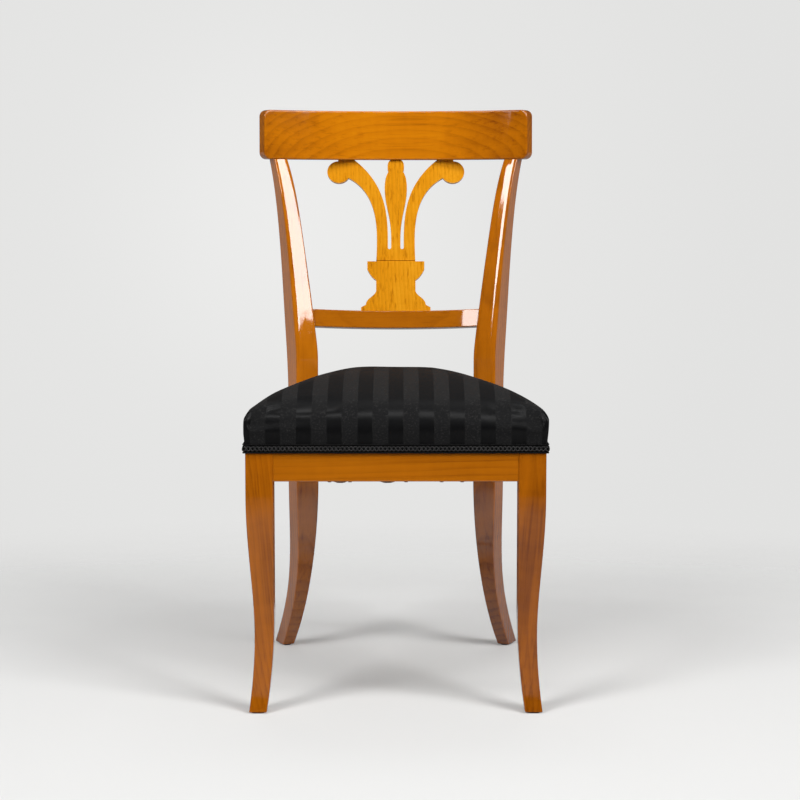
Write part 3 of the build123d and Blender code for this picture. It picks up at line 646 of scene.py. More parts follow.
@dataclass(frozen=True)
class FadingFloor(Finish):
    """A pale floor that fades out far from the chair."""

    colour: Colour = srgb(209, 209, 208)
    middle: float = -0.5
    fade: Range = (0.8, 2.2)
    lift: float = 0.09

    def paint(self, g: Graph) -> None:
        """Draw the nodes of the floor.

        Args:
            g: The graph to fill.
        """
        at = g.place()
        away = (at * (1.0, 1.0, 0.0) - (0.0, self.middle, 0.0)).length()
        speck = g.noise(at, 3.0, 2.0)
        floor = g.node("ShaderNodeBsdfDiffuse", None, {"Color": self.colour, "Roughness": 0.4})
        seen = g.node("ShaderNodeLightPath", None, None, "Is Camera Ray")
        lift = g.node("ShaderNodeEmission", None, {"Strength": seen * self.lift})
        lit = g.node("ShaderNodeAddShader", None, {0: floor, 1: lift})
        clear = g.node("ShaderNodeBsdfTransparent")
        gone = (away + (speck - 0.5) * 0.2).rise(*self.fade)
        surface = g.node("ShaderNodeMixShader", None, {0: gone, 1: lit, 2: clear})
        g.node("ShaderNodeOutputMaterial", None, {"Surface": surface})


CREST_WOOD = PolishedWood(
    srgb(214, 131, 9),
    srgb(196, 113, 5),
    srgb(124, 58, 2),
    polish_wave=0.00003,
    shine=0.65,
    # Painted shade on both ends of the crest, more on the right.
    painted_side_shade=(0.20, 0.30),
)
SPLAT_WOOD = PolishedWood(
    srgb(234, 164, 36),
    srgb(214, 138, 16),
    srgb(142, 72, 3),
    ring_width=0.0062,
    line_share=0.34,
    shine=0.45,
    dark_line_height=0.6552,
)
RAIL_WOOD = PolishedWood(srgb(184, 106, 10), srgb(166, 92, 6), srgb(106, 50, 2), shine=0.8)
POST_WOOD = PolishedWood(
    srgb(206, 120, 12),
    srgb(186, 104, 6),
    srgb(116, 54, 2),
    polish_wave=0.00020,
    shine=1.0,
    # Painted shade on the lower rear legs, under the seat.
    painted_foot_shade=0.30,
    # Painted shade on the right-hand post and rear leg.
    painted_side_shade=(0.0, 0.14),
)
LEG_WOOD = PolishedWood(
    srgb(186, 106, 11),
    srgb(166, 91, 7),
    srgb(102, 47, 2),
    ring_width=0.0066,
    cloud_share=0.80,
    shine=0.45,
    # Painted shade on the lower front legs.
    painted_foot_shade=0.20,
    # Painted shade on the right front leg.
    painted_side_shade=(0.0, 0.16),
)
BRAID_YARN = SpunThread(srgb(1, 1, 1), srgb(7, 6, 6), 0.0011, 0.0001, 0.50, 0.15)
BRAID_SILK = SpunThread(srgb(9, 8, 9), srgb(28, 27, 27), 0.0011, 0.0001, 0.30, 0.4)
CANVAS = SpunThread(srgb(150, 134, 106), srgb(204, 190, 162), 0.0016, 0.0002)
JUTE = SpunThread(srgb(104, 78, 48), srgb(170, 136, 92), 0.0022, 0.0003)
FELT = SpunThread(srgb(22, 21, 20), srgb(56, 53, 50), 0.0009, 0.0002, 0.95)
STEEL = BareMetal(srgb(150, 148, 145), srgb(112, 88, 66), 0.95, 0.34)
IRON = BareMetal(srgb(58, 60, 66), srgb(70, 50, 38), 0.85, 0.46)


class MeshDraft:
    """Points and faces of one mesh while it is drawn."""

    def __init__(self) -> None:
        """Start empty."""
        self.points: list[Vector] = []
        self.faces: list[tuple[int, ...]] = []

    def add(self, points: Sequence[Vector]) -> list[int]:
        """Add points.

        Args:
            points: Places in metres.

        Returns:
            Their numbers.
        """
        first = len(self.points)
        self.points.extend(points)
        return list(range(first, len(self.points)))

    def bridge(self, low: Sequence[int], high: Sequence[int], closed: bool) -> None:
        """Join two rows of points by a band of faces.

        Args:
            low: Numbers of the first row.
            high: Numbers of the second row.
            closed: Whether the rows close on themselves.
        """
        count = len(low)
        for i in range(count if closed else count - 1):
            j = (i + 1) % count
            self.faces.append((low[i], low[j], high[j], high[i]))

    def loft(self, rings: Sequence[Sequence[Vector]]) -> None:
        """Skin closed rings and close both ends.

        Args:
            rings: Rings of equal count, one after the other.
        """
        rows = [self.add(ring) for ring in rings]
        for low, high in zip(rows, rows[1:]):
            self.bridge(low, high, True)
        self.faces.append(tuple(reversed(rows[0])))
        self.faces.append(tuple(rows[-1]))

    def thread(self, path: Sequence[Vector], outs: Sequence[Vector], radius: float, sides: int = 6) -> None:
        """Skin a round thread along a path.

        Args:
            path: Places along it.
            outs: A direction across it at each place.
            radius: Half its thickness.
            sides: Faces round it.
        """
        rings = []
        for i, place in enumerate(path):
            ahead = path[min(i + 1, len(path) - 1)] - path[max(i - 1, 0)]
            up = ahead.cross(outs[i]).normalized()
            out = up.cross(ahead).normalized()
            turns = [tau * k / sides for k in range(sides)]
            rings.append([place + (out * cos(t) + up * sin(t)) * radius for t in turns])
        self.loft(rings)

    def make(self, name: str, material: bpy.types.Material, slot: Slot) -> bpy.types.Object:
        """Turn the draft into a piece that rides on the chair.

        Args:
            name: Name of the piece.
            material: Its finish.
            slot: Not used.

        Returns:
            The piece.
        """
        mesh = bpy.data.meshes.new(name)
        mesh.from_pydata([tuple(p) for p in self.points], [], self.faces)
        mesh.validate()
        mesh.polygons.foreach_set("use_smooth", [True] * len(mesh.polygons))
        mesh.materials.append(material)
        piece = bpy.data.objects.new(name, mesh)
        bpy.context.collection.objects.link(piece)
        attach(piece, "root")
        log.info("%s: %d points, %d faces", name, len(mesh.vertices), len(mesh.polygons))
        return piece


def resample(points: Sequence[Vector], step: float, rounds: int) -> Plan:
    """Walk along a line in even steps and soften its corners.

    Args:
        points: The line's corners.
        step: About how far apart the new points lie.
        rounds: How often each point is drawn towards its neighbours.

    Returns:
        The new points.
    """
    runs = [(b - a).length for a, b in zip(points, points[1:])]
    count = max(ceil(sum(runs) / step), 2)
    made = []
    for i in range(count + 1):
        left = sum(runs) * i / count
        k = 0
        while k < len(runs) - 1 and left > runs[k]:
            left -= runs[k]
            k += 1
        made.append(points[k].lerp(points[k + 1], left / runs[k]))
    for _ in range(rounds):
        inner = [(a + b * 2 + c) / 4 for a, b, c in zip(made, made[1:], made[2:])]
        made = [made[0], *inner, made[-1]]
    return made


@dataclass
class SeatPlan:
    """The seat seen from above, with the notches round its back posts."""

    depth: float = 0.402
    leg_block: float = 0.0402
    rear_set: float = 0.036
    post_spread: float = 0.2908
    post_turn: float = radians(25)
    post_width: float = 0.039
    side_land: float = 0.017
    rail_top: float = 0.4145
    tent_foot: float = 0.026
    tent_top: float = 0.066
    cells: int = 96
    leg_cells: int = 9
    land_cells: int = 9
    return_cells: int = 8
    half: float = field(init=False)
    front: float = field(init=False)
    rear: float = field(init=False)

    def __post_init__(self) -> None:
        """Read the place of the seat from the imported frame."""
        low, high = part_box("front_leg_right")
        self.half = high[0]
        self.front = low[1]
        self.rear = self.front + self.depth + self.rear_set

    def post_point(self, across: float, along: float) -> Vector:
        """Find a place measured from the right post's front face.

        Args:
            across: Distance outwards from the middle of the face.
            along: Distance backwards from the face.

        Returns:
            The place in plan.
        """
        c, s = cos(self.post_turn), sin(self.post_turn)
        x = self.post_spread / 2 + across * c + along * s
        return Vector((x, self.front + self.depth - across * s + along * c))

    def centre(self) -> Vector:
        """Give the middle of the seat in plan."""
        return Vector((0.0, (self.front + self.rear) / 2))

    def taper(self) -> Vector:
        """Give the direction of the right side, from front to back."""
        start = Vector((self.half, self.front + self.leg_block))
        return (self.post_point(self.side_land, 0.0) - start).normalized()

    def corners(self, grow: float, room: float) -> Plan:
        """List the corners of the right half from the front corner to the back.

        Args:
            grow: How far the outer sides stand out from the frame.
            room: Gap to the post.

        Returns:
            Front corner, bend behind the leg, landing on the post, inner corner of the notch, back corner.
        """
        way = self.taper()
        out = Vector((way.y, -way.x))
        on_side = Vector((self.half, self.front + self.leg_block)) + out * grow
        bend = on_side + way * ((self.half + grow - on_side.x) / way.x)
        face = self.post_point(0.0, -room)
        back = Vector((sin(self.post_turn), cos(self.post_turn)))
        landing = on_side + way * ((face - on_side).dot(back) / way.dot(back))
        notch = self.post_point(-self.post_width / 2 - room, -room)
        rear = notch + back * ((self.rear + grow - notch.y) / back.y)
        return [Vector((self.half + grow, self.front - grow)), bend, landing, notch, rear]

    def ring(self, grow: float, room: float) -> Plan:
        """Walk once round the seat, with a point at each corner.

        Args:
            grow: How far the outer sides stand out from the frame.
            room: Gap to the posts.

        Returns:
            Points from the front left corner, by the right side.
        """
        front, bend, landing, notch, rear = self.corners(grow, room)
        side_cells = self.cells - self.leg_cells - self.land_cells
        middle_cells = self.cells - 2 * self.return_cells
        right = [
            (front, bend, self.leg_cells), (bend, landing, side_cells), (landing, notch, self.land_cells),
            (notch, rear, self.return_cells), (rear, Vector((0.0, rear.y)), middle_cells // 2),
        ]
        half = [Vector((front.x * 2 * i / self.cells, front.y)) for i in range(self.cells // 2)]
        for start, end, count in right:
            half.extend(start.lerp(end, i / count) for i in range(count))
        half.append(Vector((0.0, rear.y)))
        left = [Vector((-p.x, p.y)) for p in reversed(half[1:-1])]
        whole = half + left
        shift = len(whole) - self.cells // 2
        return whole[shift:] + whole[:shift]

    @staticmethod
    def softened(ring: Plan, rounds: int) -> Plan:
        """Round a closed line by drawing each point towards its neighbours.

        Args:
            ring: The closed line.
            rounds: How often that is done.

        Returns:
            The rounded line.
        """
        count = len(ring)
        for _ in range(rounds):
            ring = [(ring[i - 1] + ring[i] * 2 + ring[(i + 1) % count]) / 4 for i in range(count)]
        return ring

    def grid(
        self, outline: Plan, rounded: Plan, keep_from: float, height: Callable[[float, float], float]
    ) -> tuple[list[Vector], list[tuple[int, ...]], list[int]]:
        """Cover the seat with nested squares, so that no point is a pole.

        Args:
            outline: The line that the edge keeps.
            rounded: The line that the squares inside follow.
            keep_from: Share of the way to the edge where the squares start to turn into the outline.
            height: Height for a share from the middle (0) to the edge (1) and a number along the ring.

        Returns:
            Points, faces and the numbers of the edge points in the ring's order.
        """
        reach = self.cells // 2
        centre = self.centre()
        points, numbers = [], {}
        for t in range(-reach, reach + 1):
            for s in range(-reach, reach + 1):
                share, number = max(abs(s), abs(t)) / reach, self.along_ring(s, t)
                keep = smoothstep(share, keep_from, 1.0)
                flat = self.read(rounded, number).lerp(self.read(outline, number), keep)
                flat = centre + (flat - centre) * share
                numbers[s, t] = len(points)
                points.append(Vector((flat.x, flat.y, height(share, number))))
        steps = range(-reach, reach)
        faces = [
            (numbers[s, t], numbers[s + 1, t], numbers[s + 1, t + 1], numbers[s, t + 1])
            for t in steps
            for s in steps
        ]
        edge = [numbers[s, -reach] for s in steps] + [numbers[reach, t] for t in steps]
        edge += [numbers[-s, reach] for s in steps] + [numbers[-reach, -t] for t in steps]
        return points, faces, edge

    def along_ring(self, s: int, t: int) -> float:
        """Find where on the ring a point of the nested squares lies.

        Args:
            s: Steps to the right of the middle.
            t: Steps behind the middle.

        Returns:
            The number along the ring, with parts of a step.
        """
        size = max(abs(s), abs(t))
        if size == 0:
            return 0.0
        if t == -size:
            side, way = 0, s + size
        elif s == size:
            side, way = 1, t + size
        elif t == size:
            side, way = 2, size - s
        else:
            side, way = 3, size - t
        return self.cells * (side + way / (2 * size))

    @staticmethod
    def read(ring: Plan, number: float) -> Vector:
        """Read a ring between its points.

        Args:
            ring: The closed line.
            number: Number along it, with parts of a step.

        Returns:
            The place.
        """
        first = int(number) % len(ring)
        return ring[first].lerp(ring[(first + 1) % len(ring)], number - int(number))


@dataclass
class SeatCushion:
    """The stuffed seat under its striped cover, from the tacked skirt to the crown."""

    plan: SeatPlan
    skirt_low: float = 0.3888
    cover: float = 0.0013
    post_room: float = 0.0010
    inner_room: float = 0.0014
    rail_room: float = 0.0003
    hem: float = 0.0004
    front_rounds: int = 16
    rear_rounds: int = 120
    rounded_from: float = 0.12
    bulge: float = 0.0040
    bulge_drop: float = 0.004
    bulge_reach: float = 0.020
    shoulder: float = 0.0235
    edge_height: float = 0.0330
    edge_inset: float = 0.010
    crown: float = 0.043
    crown_power: float = 2.4
    crown_inset: float = 0.190
    keep_from: float = 0.80
    slack: float = 0.003
    most_move: float = 0.006
    tacked_from: int = 4
    pressure: float = 4.0
    steps: int = 20
    under_gap: float = 0.0016
    tent_rise: float = 0.0285
    tent_room: float = 0.004
    wall_drops: tuple[float, ...] = (0.005, 0.011, 0.0175, 0.0235, 0.029, 0.0355, 0.042, 0.0492)

    CLOTH = "cloth_place"

    def rise(self, share: float) -> float:
        """Give the height of the cover above the rails.

        Args:
            share: From the middle (0) to the edge (1).

        Returns:
            Height in metres.
        """
        inset = (1 - share) * self.plan.half
        if inset < self.edge_inset:
            turn = 1 - inset / self.edge_inset
            return self.edge_height - (self.edge_height - self.shoulder) * turn * turn
        way = min((inset - self.edge_inset) / (self.crown_inset - self.edge_inset), 1.0)
        return self.edge_height + (self.crown - self.slack) * (1 - (1 - way) ** self.crown_power)

    def stand_out(self, drop: float) -> float:
        """Give how far the stuffed wall stands out, by its drop below the shoulder."""
        return self.bulge * exp(-(((drop - self.bulge_drop) / self.bulge_reach) ** 2))

    def wall(self, drop: float) -> Plan:
        """Give the outline of the stuffed wall, by its drop below the shoulder."""
        return SeatPlan.softened(self.plan.ring(self.cover + self.stand_out(drop), self.post_room), 1)

    def rounded(self, ring: Plan) -> Plan:
        """Round the seat's outline for the crown: a little in front, more round the posts.

        Args:
            ring: The outline with its notches.

        Returns:
            The rounded outline.
        """
        crisp = SeatPlan.softened(ring, self.front_rounds)
        round_back = SeatPlan.softened(ring, self.rear_rounds)
        front, rear = self.plan.front + self.rounded_from, self.plan.rear - self.rounded_from
        return [a.lerp(b, smoothstep(a.y, front, rear)) for a, b in zip(crisp, round_back)]

    def shell(self) -> tuple[MeshDraft, list[list[int]], list[Vector]]:
        """Draw the cover as it lies before it is drawn tight.

        Returns:
            The draft, the rows of points from the edge down, and the cloth's own places.
        """

        def on_top(share: float, _: float) -> float:
            """Give the height of one point of the top."""
            return self.plan.rail_top + self.rise(share)

        notched = self.wall(0.0)
        draft = MeshDraft()
        points, draft.faces, edge = self.plan.grid(notched, self.rounded(notched), self.keep_from, on_top)
        draft.add(points)
        cloth = [p.copy() for p in points]
        rows = [edge]
        for drop in self.wall_drops:
            height = self.plan.rail_top + self.shoulder - drop
            ring = self.wall(drop)
            row = draft.add([Vector((p.x, p.y, height)) for p in ring])
            draft.bridge(row, rows[-1], True)
            rows.append(row)
            for i, p in enumerate(ring):
                run = ring[(i + 1) % len(ring)] - ring[i - 1]
                away = Vector((run.y, -run.x)).normalized() * drop
                cloth.append(Vector((p.x + away.x, p.y + away.y, 0.0)))
        return draft, rows, cloth

    def draw_tight(self, draft: MeshDraft, rows: list[list[int]]) -> None:
        """Let the stuffing press the cover out, with its skirt tacked to the rails.

        Args:
            draft: The cover; its points are moved.
            rows: Rows of points from the edge down.
        """
        mesh = bpy.data.meshes.new("cover_trial")
        mesh.from_pydata([tuple(p) for p in draft.points], [], draft.faces)
        trial = bpy.data.objects.new("cover_trial", mesh)
        bpy.context.collection.objects.link(trial)
        tacked = trial.vertex_groups.new(name="tacked")
        for row in rows[self.tacked_from:]:
            tacked.add(row, 1.0, "REPLACE")
        cells = self.plan.cells
        start = 2 * cells - self.plan.land_cells
        for row in rows:
            for low in (start, 4 * cells - start - self.plan.return_cells):
                close = range(low, low + self.plan.land_cells + self.plan.return_cells)
                tacked.add([row[i % len(row)] for i in close], 1.0, "REPLACE")
        cloth = trial.modifiers.new("cloth", "CLOTH")
        settings = {
            "quality": 6,
            "mass": 0.4,
            "tension_stiffness": 25.0,
            "compression_stiffness": 25.0,
            "shear_stiffness": 12.0,
            "bending_stiffness": 1.5,
            "use_pressure": True,
            "uniform_pressure_force": self.pressure,
            "vertex_group_mass": tacked.name,
        }
        for name, value in settings.items():
            setattr(cloth.settings, name, value)
        cloth.settings.effector_weights.gravity = 0.0
        cloth.collision_settings.use_collision = False
        cloth.point_cache.frame_start = 1
        cloth.point_cache.frame_end = self.steps
        scene = bpy.context.scene
        for step in range(1, self.steps + 1):
            scene.frame_set(step)
        shaped = trial.evaluated_get(bpy.context.evaluated_depsgraph_get()).data
        furthest = 0.0
        for i, vertex in enumerate(shaped.vertices):
            move = vertex.co - draft.points[i]
            furthest = max(furthest, move.length)
            if move.length > self.most_move:
                move *= self.most_move / move.length
            draft.points[i] = draft.points[i] + move
        scene.frame_set(1)
        bpy.data.objects.remove(trial)
        bpy.data.meshes.remove(mesh)
        log.info("seat cover drawn tight, furthest move %.1f mm", furthest * 1000)

    def close_below(self, draft: MeshDraft, rows: list[list[int]], cloth: list[Vector]) -> None:
        """Close the cushion: an inner wall against the rails and an underside over the canvas.

        Args:
            draft: The cover; faces are added.
            rows: Rows of points from the edge down.
            cloth: The cloth's places; one is added for each new point.
        """
        inner = self.plan.ring(self.rail_room, self.inner_room)
        low = draft.add([Vector((p.x, p.y, self.skirt_low + self.hem)) for p in inner])
        draft.bridge(low, rows[-1], True)
        foot, top = self.plan.tent_foot - self.tent_room, self.plan.tent_top - self.tent_room

        def below(share: float, _: float) -> float:
            """Give the height of one point of the underside."""
            lift = self.tent_rise * smoothstep((1 - share) * self.plan.half, foot, top)
            return self.plan.rail_top + self.under_gap + lift

        points, faces, edge = self.plan.grid(inner, self.rounded(inner), self.keep_from, below)
        first = len(draft.points)
        draft.add(points)
        draft.faces.extend(tuple(first + i for i in reversed(f)) for f in faces)
        draft.bridge([first + i for i in edge], low, True)
        cloth.extend(p.copy() for p in draft.points[len(cloth):])

    def build(self, finish: StripedSatin) -> None:
        """Make the cushion.

        Args:
            finish: The fabric.
        """
        draft, rows, cloth = self.shell()
        self.draw_tight(draft, rows)
        self.close_below(draft, rows, cloth)
        cushion = draft.make("seat_cushion", finish.make("striped_satin"), Slot.FABRIC)
        places = cushion.data.attributes.new(self.CLOTH, "FLOAT_VECTOR", "POINT")
        places.data.foreach_set("vector", [v for p in cloth for v in p])
        smooth = cushion.modifiers.new("soft_edges", "SUBSURF")
        smooth.levels = 1
        smooth.render_levels = 1
        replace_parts(cushion, "seat_cover", "seat_stuffing")


@dataclass
class Braid:
    """Flat chain braid: a backing band, two twisted edge cords and two crossing cords."""

    plan: SeatPlan
    low: float = 0.3862
    height: float = 0.0138
    stand: float = 0.0016
    band: float = 0.0007
    step: float = 0.0008
    loop: float = 0.0062
    swing: float = 0.0030
    cord: float = 0.0010
    ply: float = 0.00062
    ply_turn: float = 0.0046
    hem: float = 0.0009
    sway: float = 0.00015
    post_room: float = 0.001
    corner_rounds: int = 10

    def lay(self, name: str, line: Plan, node: str, yarns: tuple[bpy.types.Material, ...]) -> None:
        """Lay one run of braid.

        Args:
            name: Name of the piece.
            line: The line it follows in plan, with the seat on its left.
            node: The CAD node that it stands for.
            yarns: Material of the band and its edge cords, then that of the crossing cords.
        """
        path = resample(line, self.step, self.corner_rounds)
        runs = [path[min(i + 1, len(path) - 1)] - path[max(i - 1, 0)] for i in range(len(path))]
        outs = [Vector((r.y, -r.x, 0.0)).normalized() for r in runs]
        middle = self.low + self.height / 2
        draft, loops = MeshDraft(), MeshDraft()

        def at(i: int, out: float, up: float) -> Vector:
            """Place a point beside the path."""
            return Vector((path[i].x, path[i].y, middle + up)) + outs[i] * out

        edge = self.height / 2 - self.hem
        shape = [(0.0, -edge), (self.band, -edge * 0.96), (self.band, edge * 0.96), (0.0, edge)]
        band = []
        for i in range(0, len(path), 4):
            sway = self.sway * sin(i * 0.07)
            band.append([at(i, out + sway, up) for out, up in shape])
        draft.loft(band)
        for middle_up in (-edge, edge):
            for phase in (0.0, pi):
                cord = []
                for i in range(len(path)):
                    turn = tau * i * self.step / self.ply_turn + phase
                    up = middle_up + self.ply * 0.8 * sin(turn)
                    cord.append(at(i, self.band + self.ply * (0.9 + cos(turn)), up))
                draft.thread(cord, outs, self.ply)
        for phase in (0.0, pi):
            cord = []
            for i in range(len(path)):
                turn = pi * i * self.step / self.loop + phase
                over = self.cord * (1.25 + 0.55 * cos(turn + pi / 4))
                cord.append(at(i, self.band * 0.7 + over, self.swing * sin(turn)))
            loops.thread(cord, outs, self.cord)
        finish, glossy = yarns
        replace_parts(draft.make(name, finish, Slot.BRAID), node)
        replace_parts(loops.make(f"{name}_loops", glossy, Slot.BRAID), node)

    def build(self, finish: SpunThread, silk: SpunThread) -> None:
        """Lay both runs.

        Args:
            finish: The thread of the band and its edges.
            silk: The thread of the crossing cords.
        """
        yarns = finish.make("black_braid"), silk.make("braid_silk")
        front, bend, landing, _, rear = self.plan.corners(self.stand, self.post_room)
        mirror = [Vector((-p.x, p.y)) for p in (landing, bend, front)]
        self.lay("braid_round_front", [*mirror, front, bend, landing], "braid_front_and_sides", yarns)
        self.lay("braid_across_back", [rear, Vector((-rear.x, rear.y))], "braid_back", yarns)


@dataclass
class SpringCanvas:
    """Canvas stretched over the springs, tacked flat along the rails."""

    plan: SeatPlan
    thickness: float = 0.0010
    edge_inset: float = 0.008
    keep_from: float = 0.85
    rounds: int = 90
    rise: float = 0.027
    ripple: float = 0.0004
    ripple_inset: float = 0.046
    ripple_reach: float = 0.014
    rail_room: float = 0.0001
    climb: float = 0.018

    def on_springs(self, share: float, number: float) -> float:
        """Give the height of one point of the lower face.

        Args:
            share: From the middle (0) to the edge (1).
            number: Number along the ring.

        Returns:
            Height in metres.
        """
        foot, top = self.plan.tent_foot, self.plan.tent_top
        inset = self.edge_inset + (1 - share) * self.plan.half
        up = self.rise * smoothstep((inset - foot) / (top - foot), -0.06, 1.0)
        near = exp(-(((inset - self.ripple_inset) / self.ripple_reach) ** 2))
        return self.plan.rail_top + self.rail_room + up + self.ripple * sin(number * 0.55) * near

    def build(self, finish: SpunThread) -> None:
        """Make the canvas.

        Args:
            finish: The cloth.
        """
        ring = self.plan.ring(-self.edge_inset, self.edge_inset)
        rounded = SeatPlan.softened(ring, self.rounds)
        low, faces, edge = self.plan.grid(ring, rounded, self.keep_from, self.on_springs)
        draft = MeshDraft()
        draft.add(low)
        draft.add([p + Vector((0.0, 0.0, self.thickness)) for p in low])
        draft.faces = [tuple(reversed(f)) for f in faces]
        draft.faces += [tuple(i + len(low) for i in f) for f in faces]
        draft.bridge(edge, [i + len(low) for i in edge], True)
        piece = draft.make("spring_canvas_cloth", finish.make("plain_canvas"), Slot.CANVAS)
        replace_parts(piece, "spring_canvas")


@dataclass
class Webbing:
    """Jute straps under the rails, three each way, woven, with folded ends."""

    plan: SeatPlan
    rail_bottom: float = 0.3445
    width: float = 0.050
    thickness: float = 0.0010
    spacing: float = 0.082
    rail_setback: float = 0.002
    rail_thickness: float = 0.022
    end_inset: float = 0.009
    fold: float = 0.011
    fold_round: float = 0.0012
    room: float = 0.0001
    slope: float = 0.009
    near: float = 0.0015
    over: float = 1.06
    across: int = 14
    uneven: float = 0.0003
    thin_edge: float = 0.30
    bulges: tuple[tuple[float, float], ...] = ((-0.081, 0.0085), (-0.012, 0.0095))
    pressed: float = 0.40
    pressed_range: Range = (0.026, 0.036)
    loose_drop: float = 0.8
    walk: float = 0.003
    fold_rounds: int = 2

    def pressed_flat(self, place: Vector) -> Vector:
        """Press a folded front end flat under the rail, save for two loose places.

        Args:
            place: A place on a lengthwise strap.

        Returns:
            The place after that.
        """
        loose = min(sum(exp(-((place.x - at) / half) ** 4) for at, half in self.bulges), 1.0)
        front = 1 - smoothstep(place.y, *(self.plan.front + way for way in self.pressed_range))
        share = 1 + (self.loose_drop * loose - self.pressed * (1 - loose)) * front
        return Vector((place.x, place.y, self.rail_bottom - (self.rail_bottom - place.z) * share))

    def places(self) -> tuple[list[float], list[float]]:
        """Give the straps' middle lines.

        Returns:
            The lengthwise straps' x and the crosswise straps' y.
        """
        inner = self.rail_setback + self.rail_thickness
        step = (self.plan.rear - self.rail_thickness - self.plan.front - inner) / 4
        crosses = [self.plan.front + inner + step * (i + 1) for i in range(3)]
        return [-self.spacing, 0.0, self.spacing], crosses

    def strap(
        self,
        name: str,
        line: Plan,
        turn: Callable[[float, float, float], Vector],
        finish: bpy.types.Material,
    ) -> None:
        """Make one strap along a line, with a rounded, slightly uneven edge.

        Args:
            name: Name of the piece, without its ending.
            line: Distance along and height of the strap's upper face.
            turn: Makes a place from a distance along, a distance across and a height.
            finish: Its material.
        """
        path = resample(line, self.walk, self.fold_rounds)
        rings = []
        for i, p in enumerate(path):
            upper, lower = [], []
            for k in range(self.across + 1):
                share = 2 * k / self.across - 1
                side = share * (self.width / 2 + self.uneven * sin(i * 0.8 + (share > 0)))
                thin = self.thin_edge * smoothstep(abs(share), 0.88, 1.0)
                upper.append(turn(p.x, side, p.y - self.thickness * thin))
                lower.append(turn(p.x, side, p.y - self.thickness * (1 - thin)))
            rings.append(upper + list(reversed(lower)))
        draft = MeshDraft()
        draft.loft(rings)
        piece = draft.make(f"{name}_strap", finish, Slot.WEBBING)
        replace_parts(piece, name)

    def folded(self, start: float, end: float, middle: Plan) -> Plan:
        """Fold both ends of a strap under.

        Args:
            start: Where the strap starts on the rail.
            end: Where it ends.
            middle: The line between them.

        Returns:
            The whole line, upper face, folds included.
        """
        top, under = self.rail_bottom - self.room, self.rail_bottom - self.thickness - 2 * self.room
        fold = [(self.fold, under), (self.fold_round, under), (self.fold_round, top)]
        first = [Vector((start + inset, height)) for inset, height in fold]
        last = [Vector((end - inset, height)) for inset, height in reversed(fold)]
        return [*first, *middle, *last]

    def build(self, finish: SpunThread) -> None:
        """Make all the straps.

        Args:
            finish: The jute.
        """
        material = finish.make("jute_webbing")
        longs, crosses = self.places()
        start, end = self.plan.front + self.rail_setback + self.end_inset, self.plan.rear - self.end_inset
        line = self.folded(start, end, [])
        for name, x in zip(("left", "centre", "right"), longs):

            def lengthwise(along: float, side: float, height: float, x: float = x) -> Vector:
                """Place a point of this strap."""
                return self.pressed_flat(Vector((x + side, along, height)))

            self.strap(f"webbing_lengthwise_{name}", line, lengthwise, material)
        way = self.plan.taper()
        top, near, far = self.rail_bottom - self.room, self.width / 2 + self.near, self.width / 2 + self.slope
        for row, (name, y) in enumerate(zip(("front", "middle", "rear"), crosses)):
            run = y + self.width / 2 - self.plan.front - self.plan.leg_block
            half = self.plan.half + way.x / way.y * run - (self.rail_setback + self.end_inset) / way.y
            middle = []
            for column, x in enumerate(longs):
                woven = top + self.thickness * (self.over if (row + column) % 2 else -self.over)
                middle += [Vector((x - far, top)), Vector((x - near, woven))]
                middle += [Vector((x + near, woven)), Vector((x + far, top))]

            def crosswise(along: float, side: float, height: float, y: float = y) -> Vector:
                """Place a point of this strap."""
                return Vector((along, y - side, height))

            self.strap(f"webbing_crosswise_{name}", self.folded(-half, half, middle), crosswise, material)


@dataclass
class FeltPads:
    """Felt pads under the feet."""

    plan: SeatPlan
    front_size: tuple[float, float] = (0.020, 0.020)
    rear_size: tuple[float, float] = (0.0145, 0.031)
    bulge: float = 0.0007
    rounding: float = 0.0006
    corner: float = 3.2
    uneven: float = 0.012
    sides: int = 40

    def build(self, finish: SpunThread) -> None:
        """Make the four pads inside the boxes of their CAD nodes.

        Args:
            finish: The felt.
        """
        material = finish.make("dark_felt")
        for side, turn in (("left", -self.plan.post_turn), ("right", self.plan.post_turn)):
            self.pad(f"foot_glide_front_{side}", 0.0, self.front_size, material)
            self.pad(f"foot_glide_rear_{side}", turn, self.rear_size, material)

    def pad(self, node: str, turn: float, size: tuple[float, float], material: bpy.types.Material) -> None:
        """Make one pad.

        Args:
            node: The CAD node that it stands for.
            turn: Turn about the upright, in radians.
            size: Size across and along.
            material: The felt.
        """
        low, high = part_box(node)
        middle = Vector(((low[0] + high[0]) / 2, (low[1] + high[1]) / 2))
        edge = -self.rounding
        rings = []
        for height, grow in ((0.0, edge), (0.12, 0.0), (0.5, self.bulge), (0.88, 0.0), (1.0, edge)):
            ring = []
            for k in range(self.sides):
                a = tau * k / self.sides
                share = (abs(cos(a)) ** self.corner + abs(sin(a)) ** self.corner) ** (-1 / self.corner)
                share *= 1 + self.uneven * sin(5 * a + height * 3)
                x, y = cos(a) * share * (size[0] / 2 + grow), sin(a) * share * (size[1] / 2 + grow)
                place = (middle.x + x * cos(turn) + y * sin(turn), middle.y - x * sin(turn) + y * cos(turn))
                ring.append(Vector((*place, high[2] * height)))
            rings.append(ring)
        draft = MeshDraft()
        draft.loft(rings)
        piece = draft.make(node.replace("glide", "pad"), material, Slot.FELT)
        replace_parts(piece, node)


